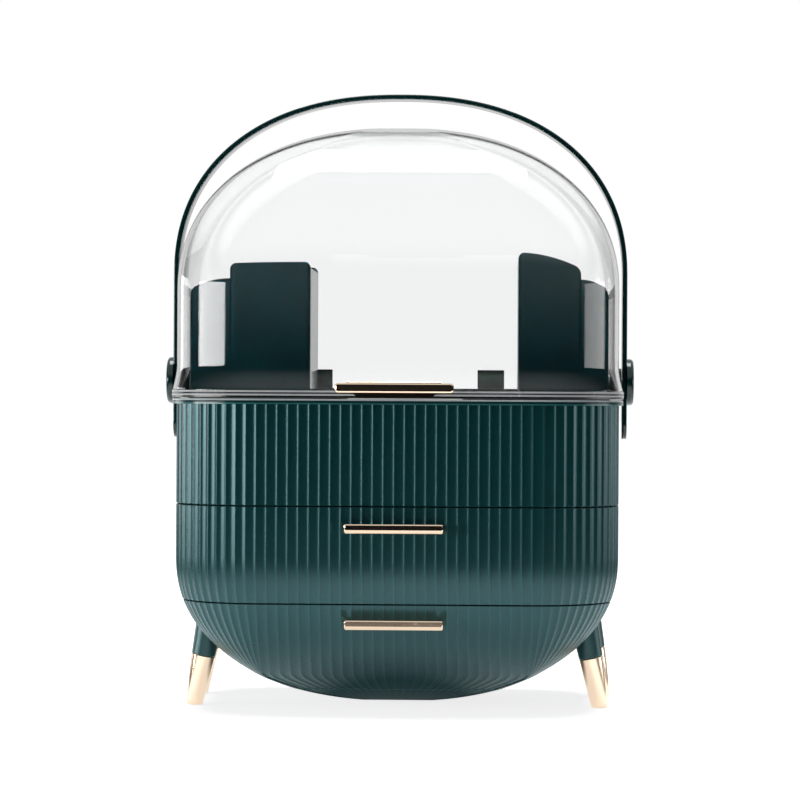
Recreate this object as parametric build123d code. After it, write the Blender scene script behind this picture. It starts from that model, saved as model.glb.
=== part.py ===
from build123d import *
import math
import os

# Makeup box: a fluted egg-shaped body on four legs, two drawers, a clear dome lid hinged at the
# back and a carrying handle that turns on the lid. Millimetres, +Z up, the front faces -Y.
# The origin is on the floor, in the middle of the body.

os.makedirs("parts", exist_ok=True)

# Body outline in plan: a rounded rectangle with shallow vertical flutes between thin ridges
body_half_width = 148.5
body_half_depth = 112.0
corner_radius = 60.0
flute_count = 135
flute_depth = 1.1
shell_wall = 3.0

# Belly: below belly_top the outline draws in along a curve with these two powers
belly_top = 102.0
belly_bottom = 0.0
belly_flat_height = 2.0
belly_height_power = 2.3
belly_width_power = 1.79
belly_steps = 14
least_corner = 4.0
belly_floor = 3.5

# Levels and seams
tub_top = 203.3
tub_floor_thickness = 3.5
upper_seam = 136.6
lower_seam = 72.5
seam_gap = 0.8
split_depth = 52.0

# Rim band on the tub
rim_height = 3.7
rim_overhang = 2.7
rim_edge_round = 0.8

# Lid
lid_gap = 0.3
seal_height = 2.5
flange_height = 2.5
flange_overhang = 3.1
flange_width = 5.6
seal_setback = 0.2
dome_wall = 2.2
dome_setback = 0.3
flare = 3.0
flare_height = 16.0
dome_straight_height = 67.7
dome_rise = 112.5
dome_power = 2.15
dome_steps = 13
dome_cap_angle = 85.0

# Pull tab and latch plate at the front of the lid
tab_length = 77.2
tab_height = 6.3
tab_projection = 7.5
tab_drop = 1.3
tab_corner = 2.0
tab_bevel = 0.8
tab_ridge_length = 62.0
tab_ridge_height = 1.0
tab_ridge_depth = 4.0
latch_length = 56.0
latch_height = 2.4
latch_thickness = 2.4
latch_slope = 3.0

# Carrying handle and its pivots
pivot_rise = 7.1
strap_gap = 0.5
strap_thickness = 3.2
strap_width = 22.0
strap_top_gap = 19.8
strap_power = 2.27
strap_shoulder = 70.6
strap_tail = 39.1
strap_points = 13
cap_diameter = 31.6
cap_thickness = 4.6
cap_edge_round = 2.6
boss_radius = 9.4
boss_gap = 0.4
boss_fit = 0.05
pivot_pin_radius = 3.0
pivot_running_gap = 0.05
pivot_end_gap = 0.3
pivot_head_radius = 6.0
pivot_head_thickness = 1.5

# Rear hinge
hinge_centre = 62.0
hinge_length = 40.0
hinge_knuckle_length = 10.0
hinge_side_gap = 0.4
hinge_knuckle_radius = 3.5
hinge_pin_radius = 1.5
hinge_running_gap = 0.05
hinge_pin_overhang = 0.5
hinge_clearance = 0.5
bracket_height = 20.0
bracket_thickness = 4.8
leaf_height = 16.0
leaf_thickness = 2.8

# Screws
screw_gap = 0.1
bracket_screw_radius = 1.5
bracket_screw_spacing = 20.0
bracket_screw_head_radius = 2.8
bracket_screw_head = 1.5
casing_screw_radius = 1.5
casing_screw_head_radius = 3.0
casing_screw_head = 2.0
casing_screw_depth = 17.0
casing_boss_radius = 4.5
casing_boss_height = 25.0
casing_boss_sink = 1.1
casing_boss_angle = 50.0
casing_boss_middle = 45.0
bar_screw_radius = 1.5
bar_screw_spacing = 44.0
bar_screw_head_radius = 2.8
bar_screw_head = 2.0
bar_screw_bite = 7.0
leg_screw_radius = 2.0
leg_screw_head_radius = 4.0
leg_screw_head = 2.5
leg_screw_bite = 15.0

# Bins in the tub, drawn as seen from the front
bin_wall = 2.0
bin_front = 32.0
bin_rear = 62.0
bin_side_gap = 1.2
bin_corner_round = 4.0
bin_crown = 0.25
bin_low_height = 148.0
bin_low_drop = 7.5
right_bin_inner_edge = 80.6
right_bin_tall_width = 42.8
right_bin_height = 166.2
right_bin_shoulder_drop = 10.6
left_bin_inner_edge = 60.0
left_bin_tall_width = 55.0
left_bin_height = 159.3
left_bin_shoulder_drop = 1.0

# Drawers
tray_wall = 2.0
tray_floor = 2.2
front_web = 2.2
upper_tray_half_width = 129.0
upper_tray_rear = 84.0
upper_tray_height = 54.9
upper_tray_corner = 8.0
lower_tray_half_width = 115.0
lower_tray_rear = 64.0
lower_tray_bottom = 30.0
lower_tray_top_gap = 4.5
lower_tray_corner = 34.0
shelf_thickness = 2.6
shelf_setback = 1.5
rail_height = 3.0
rail_depth = 4.6
rail_front_gap = 3.0
rail_rear = 36.0
rail_gap = 0.3
lip_height = 2.2
lip_width = 14.0
upper_lip_drop = 6.5
lower_lip_drop = 1.2
lower_lip_width = 16.0
rail_side_gap = 5.0

# Drawer bars
bar_length = 64.6
bar_height = 6.2
bar_projection = 10.0
bar_corner = 1.3
bar_bevel = 0.8
bar_lower_bevel = 2.6
upper_bar_drop = 13.8
lower_bar_drop = 12.9

# Legs: green sleeve above, metal tip below, leaning outwards to the sides
front_foot_inset = 11.4
front_foot_depth = -40.0
rear_foot_inset = 7.2
rear_foot_depth = 44.0
leg_lean = 10.7
leg_joint_height = 33.5
leg_bottom_radius = 5.95
leg_joint_radius = 8.1
leg_tip_sink = 0.9
leg_tip_round = 2.8
sleeve_length = 40.0
sleeve_top_radius = 10.0
sleeve_body_gap = 0.3

# Derived levels
flat_x = body_half_width - corner_radius
flat_y = body_half_depth - corner_radius
inner_inset = flute_depth + shell_wall
tub_bottom = upper_seam + seam_gap / 2
tub_floor_top = tub_bottom + tub_floor_thickness
rim_top = tub_top + rim_height
seal_bottom = rim_top + lid_gap
flange_bottom = seal_bottom + seal_height
flange_top = flange_bottom + flange_height
flare_top = flange_top + flare_height
dome_shoulder = flange_top + dome_straight_height
dome_top = dome_shoulder + dome_rise
pivot_height = flange_top + pivot_rise
flange_half_width = body_half_width + flange_overhang
flange_half_depth = body_half_depth + flange_overhang
strap_inner = flange_half_width + strap_gap
strap_outer = strap_inner + strap_thickness
handle_top = dome_top + strap_top_gap + strap_thickness
hinge_depth = flange_half_depth + hinge_clearance + hinge_knuckle_radius
hinge_height = rim_top + lid_gap / 2
front_top = upper_seam - seam_gap / 2
front_middle_low = lower_seam + seam_gap / 2
front_middle_high = lower_seam - seam_gap / 2
upper_bar_height = front_top - upper_bar_drop
lower_bar_height = front_middle_high - lower_bar_drop
front_foot_spread = body_half_width - front_foot_inset
rear_foot_spread = body_half_width - rear_foot_inset
shelf_top = lower_seam + shelf_thickness / 2
upper_tray_bottom = front_middle_low + front_web
upper_tray_top = upper_tray_bottom + upper_tray_height
lower_tray_top = front_middle_high - lower_tray_top_gap
big = 2 * (body_half_width + body_half_depth + dome_top)


# Outlines

def belly_share(z):
    """Share of the full outline that the belly keeps at height z."""
    if z >= belly_top:
        return 1.0
    drop = min((belly_top - z) / (belly_top - belly_bottom), 0.999)
    return (1 - drop ** belly_height_power) ** (1 / belly_width_power)


def dome_angle_share(angle):
    """Plan share and rise share of the dome at an angle along its curved profile."""
    turn = math.radians(angle)
    return math.cos(turn) ** (2 / dome_power), math.sin(turn) ** (2 / dome_power)


def station(share, half_width, half_depth):
    """Point, outward normal and share of the full flute depth, at a share of the way round."""
    run_x = min(flat_x, half_width - least_corner)
    run_y = min(flat_y, half_depth - least_corner)
    corner = (half_width - run_x, half_depth - run_y)
    quarter = math.pi / 2 * corner_radius
    runs = [flat_x, quarter, 2 * flat_y, quarter, 2 * flat_x, quarter, 2 * flat_y, quarter, flat_x]
    along = (share % 1.0) * sum(runs)
    index = 0
    while along > runs[index]:
        along -= runs[index]
        index += 1
    part = along / runs[index]
    straights = {
        0: ((part * run_x, -half_depth), (0, -1)),
        2: ((half_width, run_y * (2 * part - 1)), (1, 0)),
        4: ((run_x * (1 - 2 * part), half_depth), (0, 1)),
        6: ((-half_width, run_y * (1 - 2 * part)), (-1, 0)),
        8: ((run_x * (part - 1), -half_depth), (0, -1)),
    }
    if index in straights:
        point, normal = straights[index]
        kept = run_y / flat_y if index in (2, 6) else run_x / flat_x
        return point, normal, kept
    turn = math.radians(90 * (index - 1) / 2 - 90 + 90 * part)
    cosine, sine = math.cos(turn), math.sin(turn)
    side = 1 if index in (1, 3) else -1
    back = 1 if index in (3, 5) else -1
    point = (side * run_x + corner[0] * cosine, back * run_y + corner[1] * sine)
    normal = (cosine * corner[1], sine * corner[0])
    length = math.hypot(*normal)
    kept = min(1.0, min(corner) / corner_radius)
    return point, (normal[0] / length, normal[1] / length), kept


def fluted_wire(z):
    """Body outline at height z: one shallow arc from ridge to ridge for each flute."""
    half_width = body_half_width * belly_share(z)
    half_depth = body_half_depth * belly_share(z)
    ridges = [station(i / flute_count, half_width, half_depth)[0] for i in range(flute_count)]
    arcs = []
    for i in range(flute_count):
        point, normal, kept = station((i + 0.5) / flute_count, half_width, half_depth)
        depth = flute_depth * kept
        middle = (point[0] - normal[0] * depth, point[1] - normal[1] * depth, z)
        start = (*ridges[i], z)
        end = (*ridges[(i + 1) % flute_count], z)
        arcs.append(ThreePointArc(start, middle, end))
    return Wire(arcs)


def rounded_wire(half_width, half_depth, run_x, run_y, z):
    """Plain rounded rectangle with straight runs of half length run_x and run_y."""
    corner_x = half_width - run_x
    corner_y = half_depth - run_y
    edges = [
        Line((-run_x, -half_depth), (run_x, -half_depth)),
        EllipticalCenterArc((run_x, -run_y), corner_x, corner_y, -90, arc_size=90),
        Line((half_width, -run_y), (half_width, run_y)),
        EllipticalCenterArc((run_x, run_y), corner_x, corner_y, 0, arc_size=90),
        Line((run_x, half_depth), (-run_x, half_depth)),
        EllipticalCenterArc((-run_x, run_y), corner_x, corner_y, 90, arc_size=90),
        Line((-half_width, run_y), (-half_width, -run_y)),
        EllipticalCenterArc((-run_x, -run_y), corner_x, corner_y, 180, arc_size=90),
    ]
    return Wire(edges).moved(Location((0, 0, z)))


def belly_wire(z, inset, lift):
    """Plain body outline at height z, set in sideways by inset and raised by lift."""
    share = belly_share(z - lift)
    half_width = body_half_width * share - inset
    half_depth = body_half_depth * share - inset
    run_x = min(flat_x, half_width - least_corner)
    run_y = min(flat_y, half_depth - least_corner)
    return rounded_wire(half_width, half_depth, run_x, run_y, z)


def belly_levels(low, high):
    """Heights of the sections between low and high, closer together near the bottom."""
    fall = belly_top - belly_flat_height
    steps = [belly_top - fall * math.sin(math.pi / 2 * i / belly_steps) for i in range(belly_steps)]
    return [low] + sorted(z for z in steps if low + 1 < z < high - 1) + [high]


def fluted_solid(low, high):
    return Solid.make_loft([fluted_wire(z) for z in belly_levels(low, high)], ruled=True)


def belly_solid(low, high, inset, lift):
    wires = [belly_wire(z, inset, lift) for z in belly_levels(low, high)]
    return Solid.make_loft(wires, ruled=True)


def ring(half_width, half_depth, inset, low, high):
    """Flat ring round the body: an outer outline and the same outline set in by inset."""
    outer = Face(rounded_wire(half_width, half_depth, flat_x, flat_y, low))
    inner = Face(rounded_wire(half_width - inset, half_depth - inset, flat_x, flat_y, low))
    return extrude(outer, amount=high - low, dir=(0, 0, 1)) - extrude(inner, amount=high - low, dir=(0, 0, 1))


# Simple solids placed by their limits

def block(x_low, x_high, y_low, y_high, z_low, z_high):
    size = Box(x_high - x_low, y_high - y_low, z_high - z_low)
    return Pos((x_low + x_high) / 2, (y_low + y_high) / 2, (z_low + z_high) / 2) * size


def rod_x(radius, x_low, x_high, y, z):
    return Pos((x_low + x_high) / 2, y, z) * Rot(0, 90, 0) * Cylinder(radius, x_high - x_low)


def rod_y(radius, x, y_low, y_high, z):
    return Pos(x, (y_low + y_high) / 2, z) * Rot(90, 0, 0) * Cylinder(radius, y_high - y_low)


def rod_z(radius, x, y, z_low, z_high):
    return Pos(x, y, (z_low + z_high) / 2) * Cylinder(radius, z_high - z_low)


def both_sides(solid):
    """The solid and its mirror image in the middle plane."""
    return [solid, mirror(solid, Plane.YZ)]


def save(name, *solids):
    """Writes a node: one solid, or a group of separate solids."""
    flat = [piece for solid in solids for piece in solid.solids()]
    shape = flat[0] if len(flat) == 1 else Compound(children=flat)
    shape.label = name
    export_step(shape, f"parts/{name}.step")


# Fasteners as solids, and the same grown by a gap to cut their holes

def casing_screw(x, y, gap):
    shank = rod_z(casing_screw_radius + gap, x, y, tub_floor_top - casing_screw_depth - gap, tub_floor_top)
    head = rod_z(casing_screw_head_radius, x, y, tub_floor_top, tub_floor_top + casing_screw_head)
    return shank if gap else shank + head


def casing_screw_places():
    reach = corner_radius - inner_inset - casing_boss_radius + casing_boss_sink
    turn = math.radians(casing_boss_angle)
    corner = (flat_x + reach * math.cos(turn), flat_y + reach * math.sin(turn))
    middle = (casing_boss_middle, flat_y + reach)
    return [corner, middle, (-middle[0], middle[1]), (-corner[0], corner[1])]


def bar_screws(bar_z, seat, gap):
    """Two screws from inside the tray, through the drawer front, into the bar."""
    surface = body_half_depth * belly_share(bar_z)
    screws = []
    for x in (-bar_screw_spacing / 2, bar_screw_spacing / 2):
        shank = rod_y(bar_screw_radius + gap, x, -surface - bar_screw_bite - gap, -seat, bar_z)
        head = rod_y(bar_screw_head_radius + gap, x, -seat, -seat + bar_screw_head + gap, bar_z)
        screws.append(shank + head)
    return screws


def bar_seat(bar_z):
    """Depth of the tray's inner face at the lower edge of the screw heads."""
    level = bar_z - bar_screw_head_radius - belly_floor - tray_wall
    return body_half_depth * belly_share(level) - inner_inset - tray_wall


def leg_plane(foot_x, foot_y):
    """Plane at a foot's centre on the floor, its axis along the leg."""
    side = math.copysign(1, foot_x)
    lean = math.radians(leg_lean)
    return Plane(origin=(foot_x, foot_y, 0), x_dir=(math.cos(lean), 0, side * math.sin(lean)),
                 z_dir=(-side * math.sin(lean), 0, math.cos(lean)))


def leg_inner_reach(foot_x):
    """Length along the leg's axis from the floor to the inner face of the casing."""
    lean = math.radians(leg_lean)
    low, high = 0.0, belly_top
    for _ in range(40):
        middle = (low + high) / 2
        x = abs(foot_x) - middle * math.sin(lean)
        z = middle * math.cos(lean)
        inside = x < body_half_width * belly_share(z - belly_floor) - inner_inset
        low, high = (low, middle) if inside else (middle, high)
    return high + leg_screw_head_radius * math.tan(lean)


def leg_screw(foot_x, foot_y, gap):
    reach = leg_inner_reach(foot_x)
    start = leg_joint_length - leg_screw_bite
    shank = Pos(0, 0, (start + reach) / 2) * Cylinder(leg_screw_radius + gap, reach - start + gap)
    head = Pos(0, 0, reach + leg_screw_head / 2) * Cylinder(leg_screw_head_radius + gap, leg_screw_head + gap)
    return leg_plane(foot_x, foot_y).location * (shank + head)


leg_joint_length = leg_joint_height / math.cos(math.radians(leg_lean))
leg_places = {
    "front_left": (-front_foot_spread, front_foot_depth),
    "front_right": (front_foot_spread, front_foot_depth),
    "rear_left": (-rear_foot_spread, rear_foot_depth),
    "rear_right": (rear_foot_spread, rear_foot_depth),
}

# Hollows shared by the casing, the fronts and what fits inside them
cavity_bottom = belly_flat_height + belly_floor
cavity = belly_solid(cavity_bottom, tub_bottom, inner_inset, belly_floor)
tray_hollow = belly_solid(cavity_bottom + tray_wall, tub_bottom, inner_inset + tray_wall,
                          belly_floor + tray_wall)
behind_split = block(-big, big, -split_depth + seam_gap / 2, big, -big, big)
before_split = block(-big, big, -big, -split_depth - seam_gap / 2, -big, big)
envelope = belly_solid(belly_flat_height, tub_bottom, 0, 0)


# Tub, rim band and casing

def make_tub():
    outer = extrude(Face(fluted_wire(tub_bottom)), amount=tub_top - tub_bottom, dir=(0, 0, 1))
    inner_face = Face(rounded_wire(body_half_width - inner_inset, body_half_depth - inner_inset,
                                   flat_x, flat_y, tub_floor_top))
    tub = outer - extrude(inner_face, amount=tub_top - tub_floor_top + 1, dir=(0, 0, 1))
    for x, y in casing_screw_places():
        tub -= casing_screw(x, y, screw_gap)
    for screw in bracket_screws(screw_gap):
        tub -= screw
    return tub


def make_rim_band():
    outline = Face(rounded_wire(body_half_width + rim_overhang, body_half_depth + rim_overhang,
                                flat_x, flat_y, tub_top))
    band = extrude(outline, amount=rim_height, dir=(0, 0, 1))
    band = fillet(band.edges().group_by(Axis.Z)[-1], rim_edge_round)
    opening = Face(rounded_wire(body_half_width - inner_inset, body_half_depth - inner_inset,
                                flat_x, flat_y, tub_top))
    return band - extrude(opening, amount=rim_height, dir=(0, 0, 1))


def make_casing():
    casing = (fluted_solid(belly_flat_height, tub_bottom) & behind_split) - cavity
    for x, y in casing_screw_places():
        casing += rod_z(casing_boss_radius, x, y, tub_bottom - casing_boss_height, tub_bottom)
    for x, y in casing_screw_places():
        casing -= casing_screw(x, y, screw_gap)
    for x, y in leg_places.values():
        casing -= leg_screw(x, y, screw_gap)
    return casing


def make_shelf():
    rear = block(-big, big, -split_depth + shelf_setback, big, shelf_top - shelf_thickness, shelf_top)
    return cavity & rear


def make_rails(lip_bottom, inner_edge):
    """Two rails on the casing's side walls that carry a drawer's lips."""
    bar = block(inner_edge, big, -split_depth + rail_front_gap, rail_rear,
                lip_bottom - rail_gap - rail_height, lip_bottom - rail_gap)
    return both_sides(bar & cavity)


# Bins

def falling_arc(start_x, end_x, start_z, end_z):
    """Edge that falls from one height to the other, bulging upwards by the crown's share."""
    middle = ((start_x + end_x) / 2, start_z - (start_z - end_z) * bin_crown)
    return ThreePointArc((start_x, start_z), middle, (end_x, end_z))


def make_bin(inner_edge, tall_width, height, shoulder_drop):
    """Bin on the right: tall inner part with a falling top, lower outer part, both open."""
    outer_edge = body_half_width - inner_inset - bin_side_gap
    step_x = inner_edge + tall_width
    top = tub_floor_top + height
    low_top = tub_floor_top + bin_low_height
    low_end = low_top - bin_low_drop
    outline = make_face(Wire([
        Line((inner_edge, tub_floor_top), (inner_edge, top)),
        falling_arc(inner_edge, step_x, top, top - shoulder_drop),
        Line((step_x, top - shoulder_drop), (step_x, low_top)),
        falling_arc(step_x, outer_edge, low_top, low_end),
        Line((outer_edge, low_end), (outer_edge, tub_floor_top)),
        Line((outer_edge, tub_floor_top), (inner_edge, tub_floor_top)),
    ]))
    corners = [v for v in outline.vertices()
               if v.Y > low_end - 1 and (abs(v.Y - low_top) > 1)]
    outline = fillet(corners, bin_corner_round)
    solid = extrude(Plane.XZ.offset(bin_front) * outline, amount=-(bin_front + bin_rear))
    inner = block(inner_edge + bin_wall, step_x - bin_wall / 2, -bin_front + bin_wall, bin_rear - bin_wall,
                  tub_floor_top + bin_wall, big)
    outer = block(step_x + bin_wall / 2, outer_edge - bin_wall, -bin_front + bin_wall, bin_rear - bin_wall,
                  tub_floor_top + bin_wall, big)
    return solid - inner - outer


# Legs

def make_leg_tip(x, y):
    length = leg_joint_length + leg_tip_sink
    cone = Pos(0, 0, length / 2 - leg_tip_sink) * Cone(leg_bottom_radius, leg_joint_radius, length)
    cone = fillet(cone.edges().sort_by(Axis.Z)[0], leg_tip_round)
    above_floor = block(-big, big, -big, big, 0, big)
    return (leg_plane(x, y).location * cone & above_floor) - leg_screw(x, y, screw_gap)


def make_leg_sleeve(x, y):
    cone = Cone(leg_joint_radius, sleeve_top_radius, sleeve_length)
    cone = leg_plane(x, y).location * (Pos(0, 0, leg_joint_length + sleeve_length / 2) * cone)
    body = belly_solid(belly_flat_height, tub_bottom, -sleeve_body_gap, -sleeve_body_gap)
    return cone - body - leg_screw(x, y, screw_gap)


# Drawers

def make_front(low, high, bar_z, half_opening, tray_bottom):
    """Fluted front shell of a drawer, closed along its seams by a web round the tray."""
    shell = fluted_solid(low, high) & before_split
    hollow_low = max(low + front_web, cavity_bottom)
    hollow = cavity & block(-big, big, -big, big, hollow_low, high - front_web)
    opening = tray_hollow & block(-half_opening, half_opening, -big, big, tray_bottom, big)
    front = shell - hollow - opening
    for screw in bar_screws(bar_z, bar_seat(bar_z), screw_gap):
        front -= screw
    return front


def make_upper_tray():
    def plan(inset, low, high):
        half = upper_tray_half_width - inset
        rear = upper_tray_rear - inset
        shape = Pos(0, (rear - body_half_depth) / 2) * RectangleRounded(2 * half, rear + body_half_depth,
                                                                        upper_tray_corner - inset)
        return Pos(0, 0, low) * extrude(shape, amount=high - low)

    tray = plan(0, upper_tray_bottom, upper_tray_top) & cavity
    tray -= plan(tray_wall, upper_tray_bottom + tray_floor, upper_tray_top + 1) & tray_hollow
    return tray


def lower_tray_prism(inset, low):
    """Long prism with round lower corners, as seen from the front."""
    half = lower_tray_half_width - inset
    radius = lower_tray_corner - inset
    top = lower_tray_top
    outline = make_face(Wire([
        Line((-half + radius, low), (half - radius, low)),
        RadiusArc((half - radius, low), (half, low + radius), -radius),
        Line((half, low + radius), (half, top + inset)),
        Line((half, top + inset), (-half, top + inset)),
        Line((-half, top + inset), (-half, low + radius)),
        RadiusArc((-half, low + radius), (-half + radius, low), -radius),
    ]))
    length = body_half_depth + lower_tray_rear - inset
    return extrude(Plane.XZ.offset(body_half_depth) * outline, amount=-length)


def make_lower_tray():
    tray = lower_tray_prism(0, lower_tray_bottom) & cavity
    tray -= lower_tray_prism(tray_wall, lower_tray_bottom + tray_floor) & tray_hollow
    return tray


def with_lips_and_holes(tray, half_width, lip_bottom, width, bar_z):
    """Adds the side lips that ride on the rails and cuts the screw holes."""
    lip = block(half_width - tray_wall / 2, half_width + width, -split_depth + rail_front_gap + 3, rail_rear,
                lip_bottom, lip_bottom + lip_height)
    for side in both_sides(lip):
        tray += side
    for screw in bar_screws(bar_z, bar_seat(bar_z), screw_gap):
        tray -= screw
    return tray


def make_bar(bar_z):
    """Bar pull with a bevelled front face, its back shaped to the body."""
    surface = body_half_depth * belly_share(bar_z)
    face_depth = surface + bar_projection
    outline = RectangleRounded(bar_length, bar_height, bar_corner)
    bar = extrude(Pos(0, -face_depth, bar_z) * Rot(90, 0, 0) * outline, amount=-2 * bar_projection)
    bar = chamfer(bar.edges().group_by(Axis.Y)[0], bar_bevel)
    wedge = make_face(Polyline((-face_depth - 1, bar_z - bar_height / 2 + bar_lower_bevel + 1),
                               (-face_depth + bar_lower_bevel, bar_z - bar_height / 2),
                               (-face_depth - 1, bar_z - bar_height / 2 - 1), close=True))
    bar -= extrude(Plane.YZ.offset(-bar_length) * wedge, amount=2 * bar_length)
    bar -= envelope
    for screw in bar_screws(bar_z, bar_seat(bar_z), screw_gap):
        bar -= screw
    return bar


# Lid

def dome_outer_levels():
    levels = [(flange_top, 1.0, flare), (flare_top, 1.0, 0.0)]
    for i in range(dome_steps + 1):
        plan_share, rise_share = dome_angle_share(dome_cap_angle * i / dome_steps)
        levels.append((dome_shoulder + dome_rise * rise_share, plan_share, 0.0))
    return levels


def dome_wire(z, share, spread):
    half_width = (body_half_width - dome_setback) * share + spread
    half_depth = (body_half_depth - dome_setback) * share + spread
    return rounded_wire(half_width, half_depth, flat_x * share, flat_y * share, z)


def dome_solid(drop, thin):
    """The dome's filled shape, lowered by drop and set in by thin."""
    wires = [dome_wire(flange_bottom - thin, 1.0, flare - thin)]
    wires += [dome_wire(z - drop, share, spread - thin * share) for z, share, spread in dome_outer_levels()]
    return Solid.make_loft(wires, ruled=True)


def make_dome():
    """Clear dome with its flange, and a round hole on each side for the pivot bosses."""
    dome = dome_form - dome_solid(dome_wall, dome_wall)
    for hole in both_sides(rod_x(boss_radius + boss_fit, 0, big, 0, pivot_height) & side_strip):
        dome -= hole
    return dome


def make_tab():
    """Pull tab: a bevelled plate across the front of the skirt with a low ridge behind it."""
    low = flange_top - tab_drop
    reach = flange_half_depth + tab_projection
    outline = RectangleRounded(tab_length, tab_height, tab_corner)
    face = Pos(0, -reach, low + tab_height / 2) * Rot(90, 0, 0) * outline
    tab = extrude(face, amount=-tab_projection - flare)
    tab = chamfer(tab.edges().group_by(Axis.Y)[0], tab_bevel)
    top = low + tab_height
    half = tab_ridge_length / 2
    narrow = half - tab_ridge_depth / 2
    ridge = make_face(Polyline((-half, top), (half, top), (narrow, top + tab_ridge_height),
                               (-narrow, top + tab_ridge_height), close=True))
    ridge_face = Plane.XZ.offset(flange_half_depth + tab_ridge_depth) * ridge
    tab += extrude(ridge_face, amount=-tab_ridge_depth - flare)
    return tab - dome_form


def make_latch():
    """Plate under the tab, a little narrower at its lower edge."""
    top = flange_top - tab_drop
    low = top - latch_height
    half = latch_length / 2
    section = make_face(Polyline((-half, top), (half, top), (half - latch_slope, low),
                                 (-half + latch_slope, low), close=True))
    return extrude(Plane.XZ.offset(flange_half_depth) * section, amount=latch_thickness)


def pivot_pins(gap):
    """Headed pins through the skirt: the head is inside the dome, the end is under the cap."""
    face = body_half_width - dome_setback - dome_wall
    shank = rod_x(pivot_pin_radius + gap, face, strap_outer - pivot_end_gap, 0, pivot_height)
    head = rod_x(pivot_head_radius, face - pivot_head_thickness, face, 0, pivot_height)
    return both_sides(shank + head)


def make_bosses():
    """Round plugs through the sides of the dome, bored for the pivot pins."""
    face = body_half_width - dome_setback - dome_wall
    boss = rod_x(boss_radius, face, strap_inner - boss_gap, 0, pivot_height)
    hole = pivot_pins(pivot_running_gap)[0]
    return both_sides(boss - hole)


# Handle

def strap_curve(half_width, rise):
    """Half round arch with the given power, from one shoulder over the top to the other."""
    points = []
    for i in range(2 * strap_points + 1):
        turn = math.pi * i / (2 * strap_points)
        cosine, sine = math.cos(turn), math.sin(turn)
        x = half_width * math.copysign(abs(cosine) ** (2 / strap_power), cosine)
        points.append((x, strap_base + rise * abs(sine) ** (2 / strap_power)))
    return points


def make_strap():
    rise = handle_top - strap_base
    low = pivot_height - strap_tail
    outer = Spline(*strap_curve(strap_outer, rise), tangents=[(0, 1), (0, -1)])
    inner = Spline(*strap_curve(strap_inner, rise - strap_thickness), tangents=[(0, 1), (0, -1)])
    outline = make_face(Wire([
        outer,
        Line((-strap_outer, strap_base), (-strap_outer, low)),
        Line((-strap_outer, low), (-strap_inner, low)),
        Line((-strap_inner, low), (-strap_inner, strap_base)),
        inner,
        Line((strap_inner, strap_base), (strap_inner, low)),
        Line((strap_inner, low), (strap_outer, low)),
        Line((strap_outer, low), (strap_outer, strap_base)),
    ]))
    strap = extrude(Plane.XZ.offset(strap_width / 2) * outline, amount=-strap_width)
    radius = strap_width / 2
    ends = rod_x(radius, -big, big, 0, low + radius) + block(-big, big, -radius, radius, low + radius, big)
    strap = strap & ends
    for side in both_sides(rod_x(pivot_pin_radius + pivot_running_gap, strap_inner - 1, strap_outer + 1,
                                 0, pivot_height)):
        strap -= side
    return strap


def make_caps():
    cap = rod_x(cap_diameter / 2, strap_outer, strap_outer + cap_thickness, 0, pivot_height)
    cap = fillet(cap.edges().sort_by(Axis.X)[-1], cap_edge_round)
    return both_sides(cap)


# Rear hinge

def make_brackets():
    """Plate on the tub's back wall with a knuckle at each end, cut clear of the rim band."""
    left = hinge_centre - hinge_length / 2
    right = hinge_centre + hinge_length / 2
    top = tub_top - lid_gap
    outside = body_half_depth + bracket_thickness
    plate = block(left, right, body_half_depth, outside, top - bracket_height, top)
    for start in (left, right - hinge_knuckle_length):
        end = start + hinge_knuckle_length
        arm_front = body_half_depth + rim_overhang + hinge_clearance
        plate += block(start, end, arm_front, outside + 1, top - 2, hinge_height - hinge_clearance)
        plate += rod_x(hinge_knuckle_radius, start, end, hinge_depth, hinge_height)
    plate -= rod_x(hinge_pin_radius + hinge_running_gap / 2, left - 1, right + 1, hinge_depth, hinge_height)
    for screw in bracket_screws(screw_gap):
        plate -= screw
    return both_sides(plate)


def bracket_screws(gap):
    z = tub_top - lid_gap - bracket_height / 2
    outside = body_half_depth + bracket_thickness
    screws = []
    for x in (hinge_centre - bracket_screw_spacing / 2, hinge_centre + bracket_screw_spacing / 2):
        shank = rod_y(bracket_screw_radius + gap, x, body_half_depth - inner_inset, outside, z)
        head = rod_y(bracket_screw_head_radius, x, outside, outside + bracket_screw_head, z)
        screws += both_sides(shank if gap else shank + head)
    return screws


def make_leaves():
    """Lid side of the hinge: a middle knuckle and a plate shaped to the back of the skirt."""
    left = hinge_centre - hinge_length / 2 + hinge_knuckle_length + hinge_side_gap
    right = hinge_centre + hinge_length / 2 - hinge_knuckle_length - hinge_side_gap
    plate_front = flange_half_depth
    top = flange_top + leaf_height
    leaf = block(left, right, plate_front, plate_front + leaf_thickness, hinge_height, top)
    pad = block(left, right, body_half_depth - dome_wall, plate_front + leaf_thickness, flange_top, top)
    leaf += pad - dome_form - dome_solid(0, dome_wall / 2)
    leaf += rod_x(hinge_knuckle_radius, left, right, hinge_depth, hinge_height)
    leaf -= rod_x(hinge_pin_radius + hinge_running_gap, left - 1, right + 1, hinge_depth, hinge_height)
    return both_sides(leaf)


def make_hinge_pins():
    left = hinge_centre - hinge_length / 2 - hinge_pin_overhang
    right = hinge_centre + hinge_length / 2 + hinge_pin_overhang
    return both_sides(rod_x(hinge_pin_radius, left, right, hinge_depth, hinge_height))


strap_base = pivot_height + strap_shoulder
dome_form = dome_solid(0, 0) + extrude(Face(rounded_wire(flange_half_width, flange_half_depth, flat_x, flat_y,
                                                         flange_bottom)), amount=flange_height, dir=(0, 0, 1))
side_strip = block(flat_x, big, -big, big, -big, big)

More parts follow.
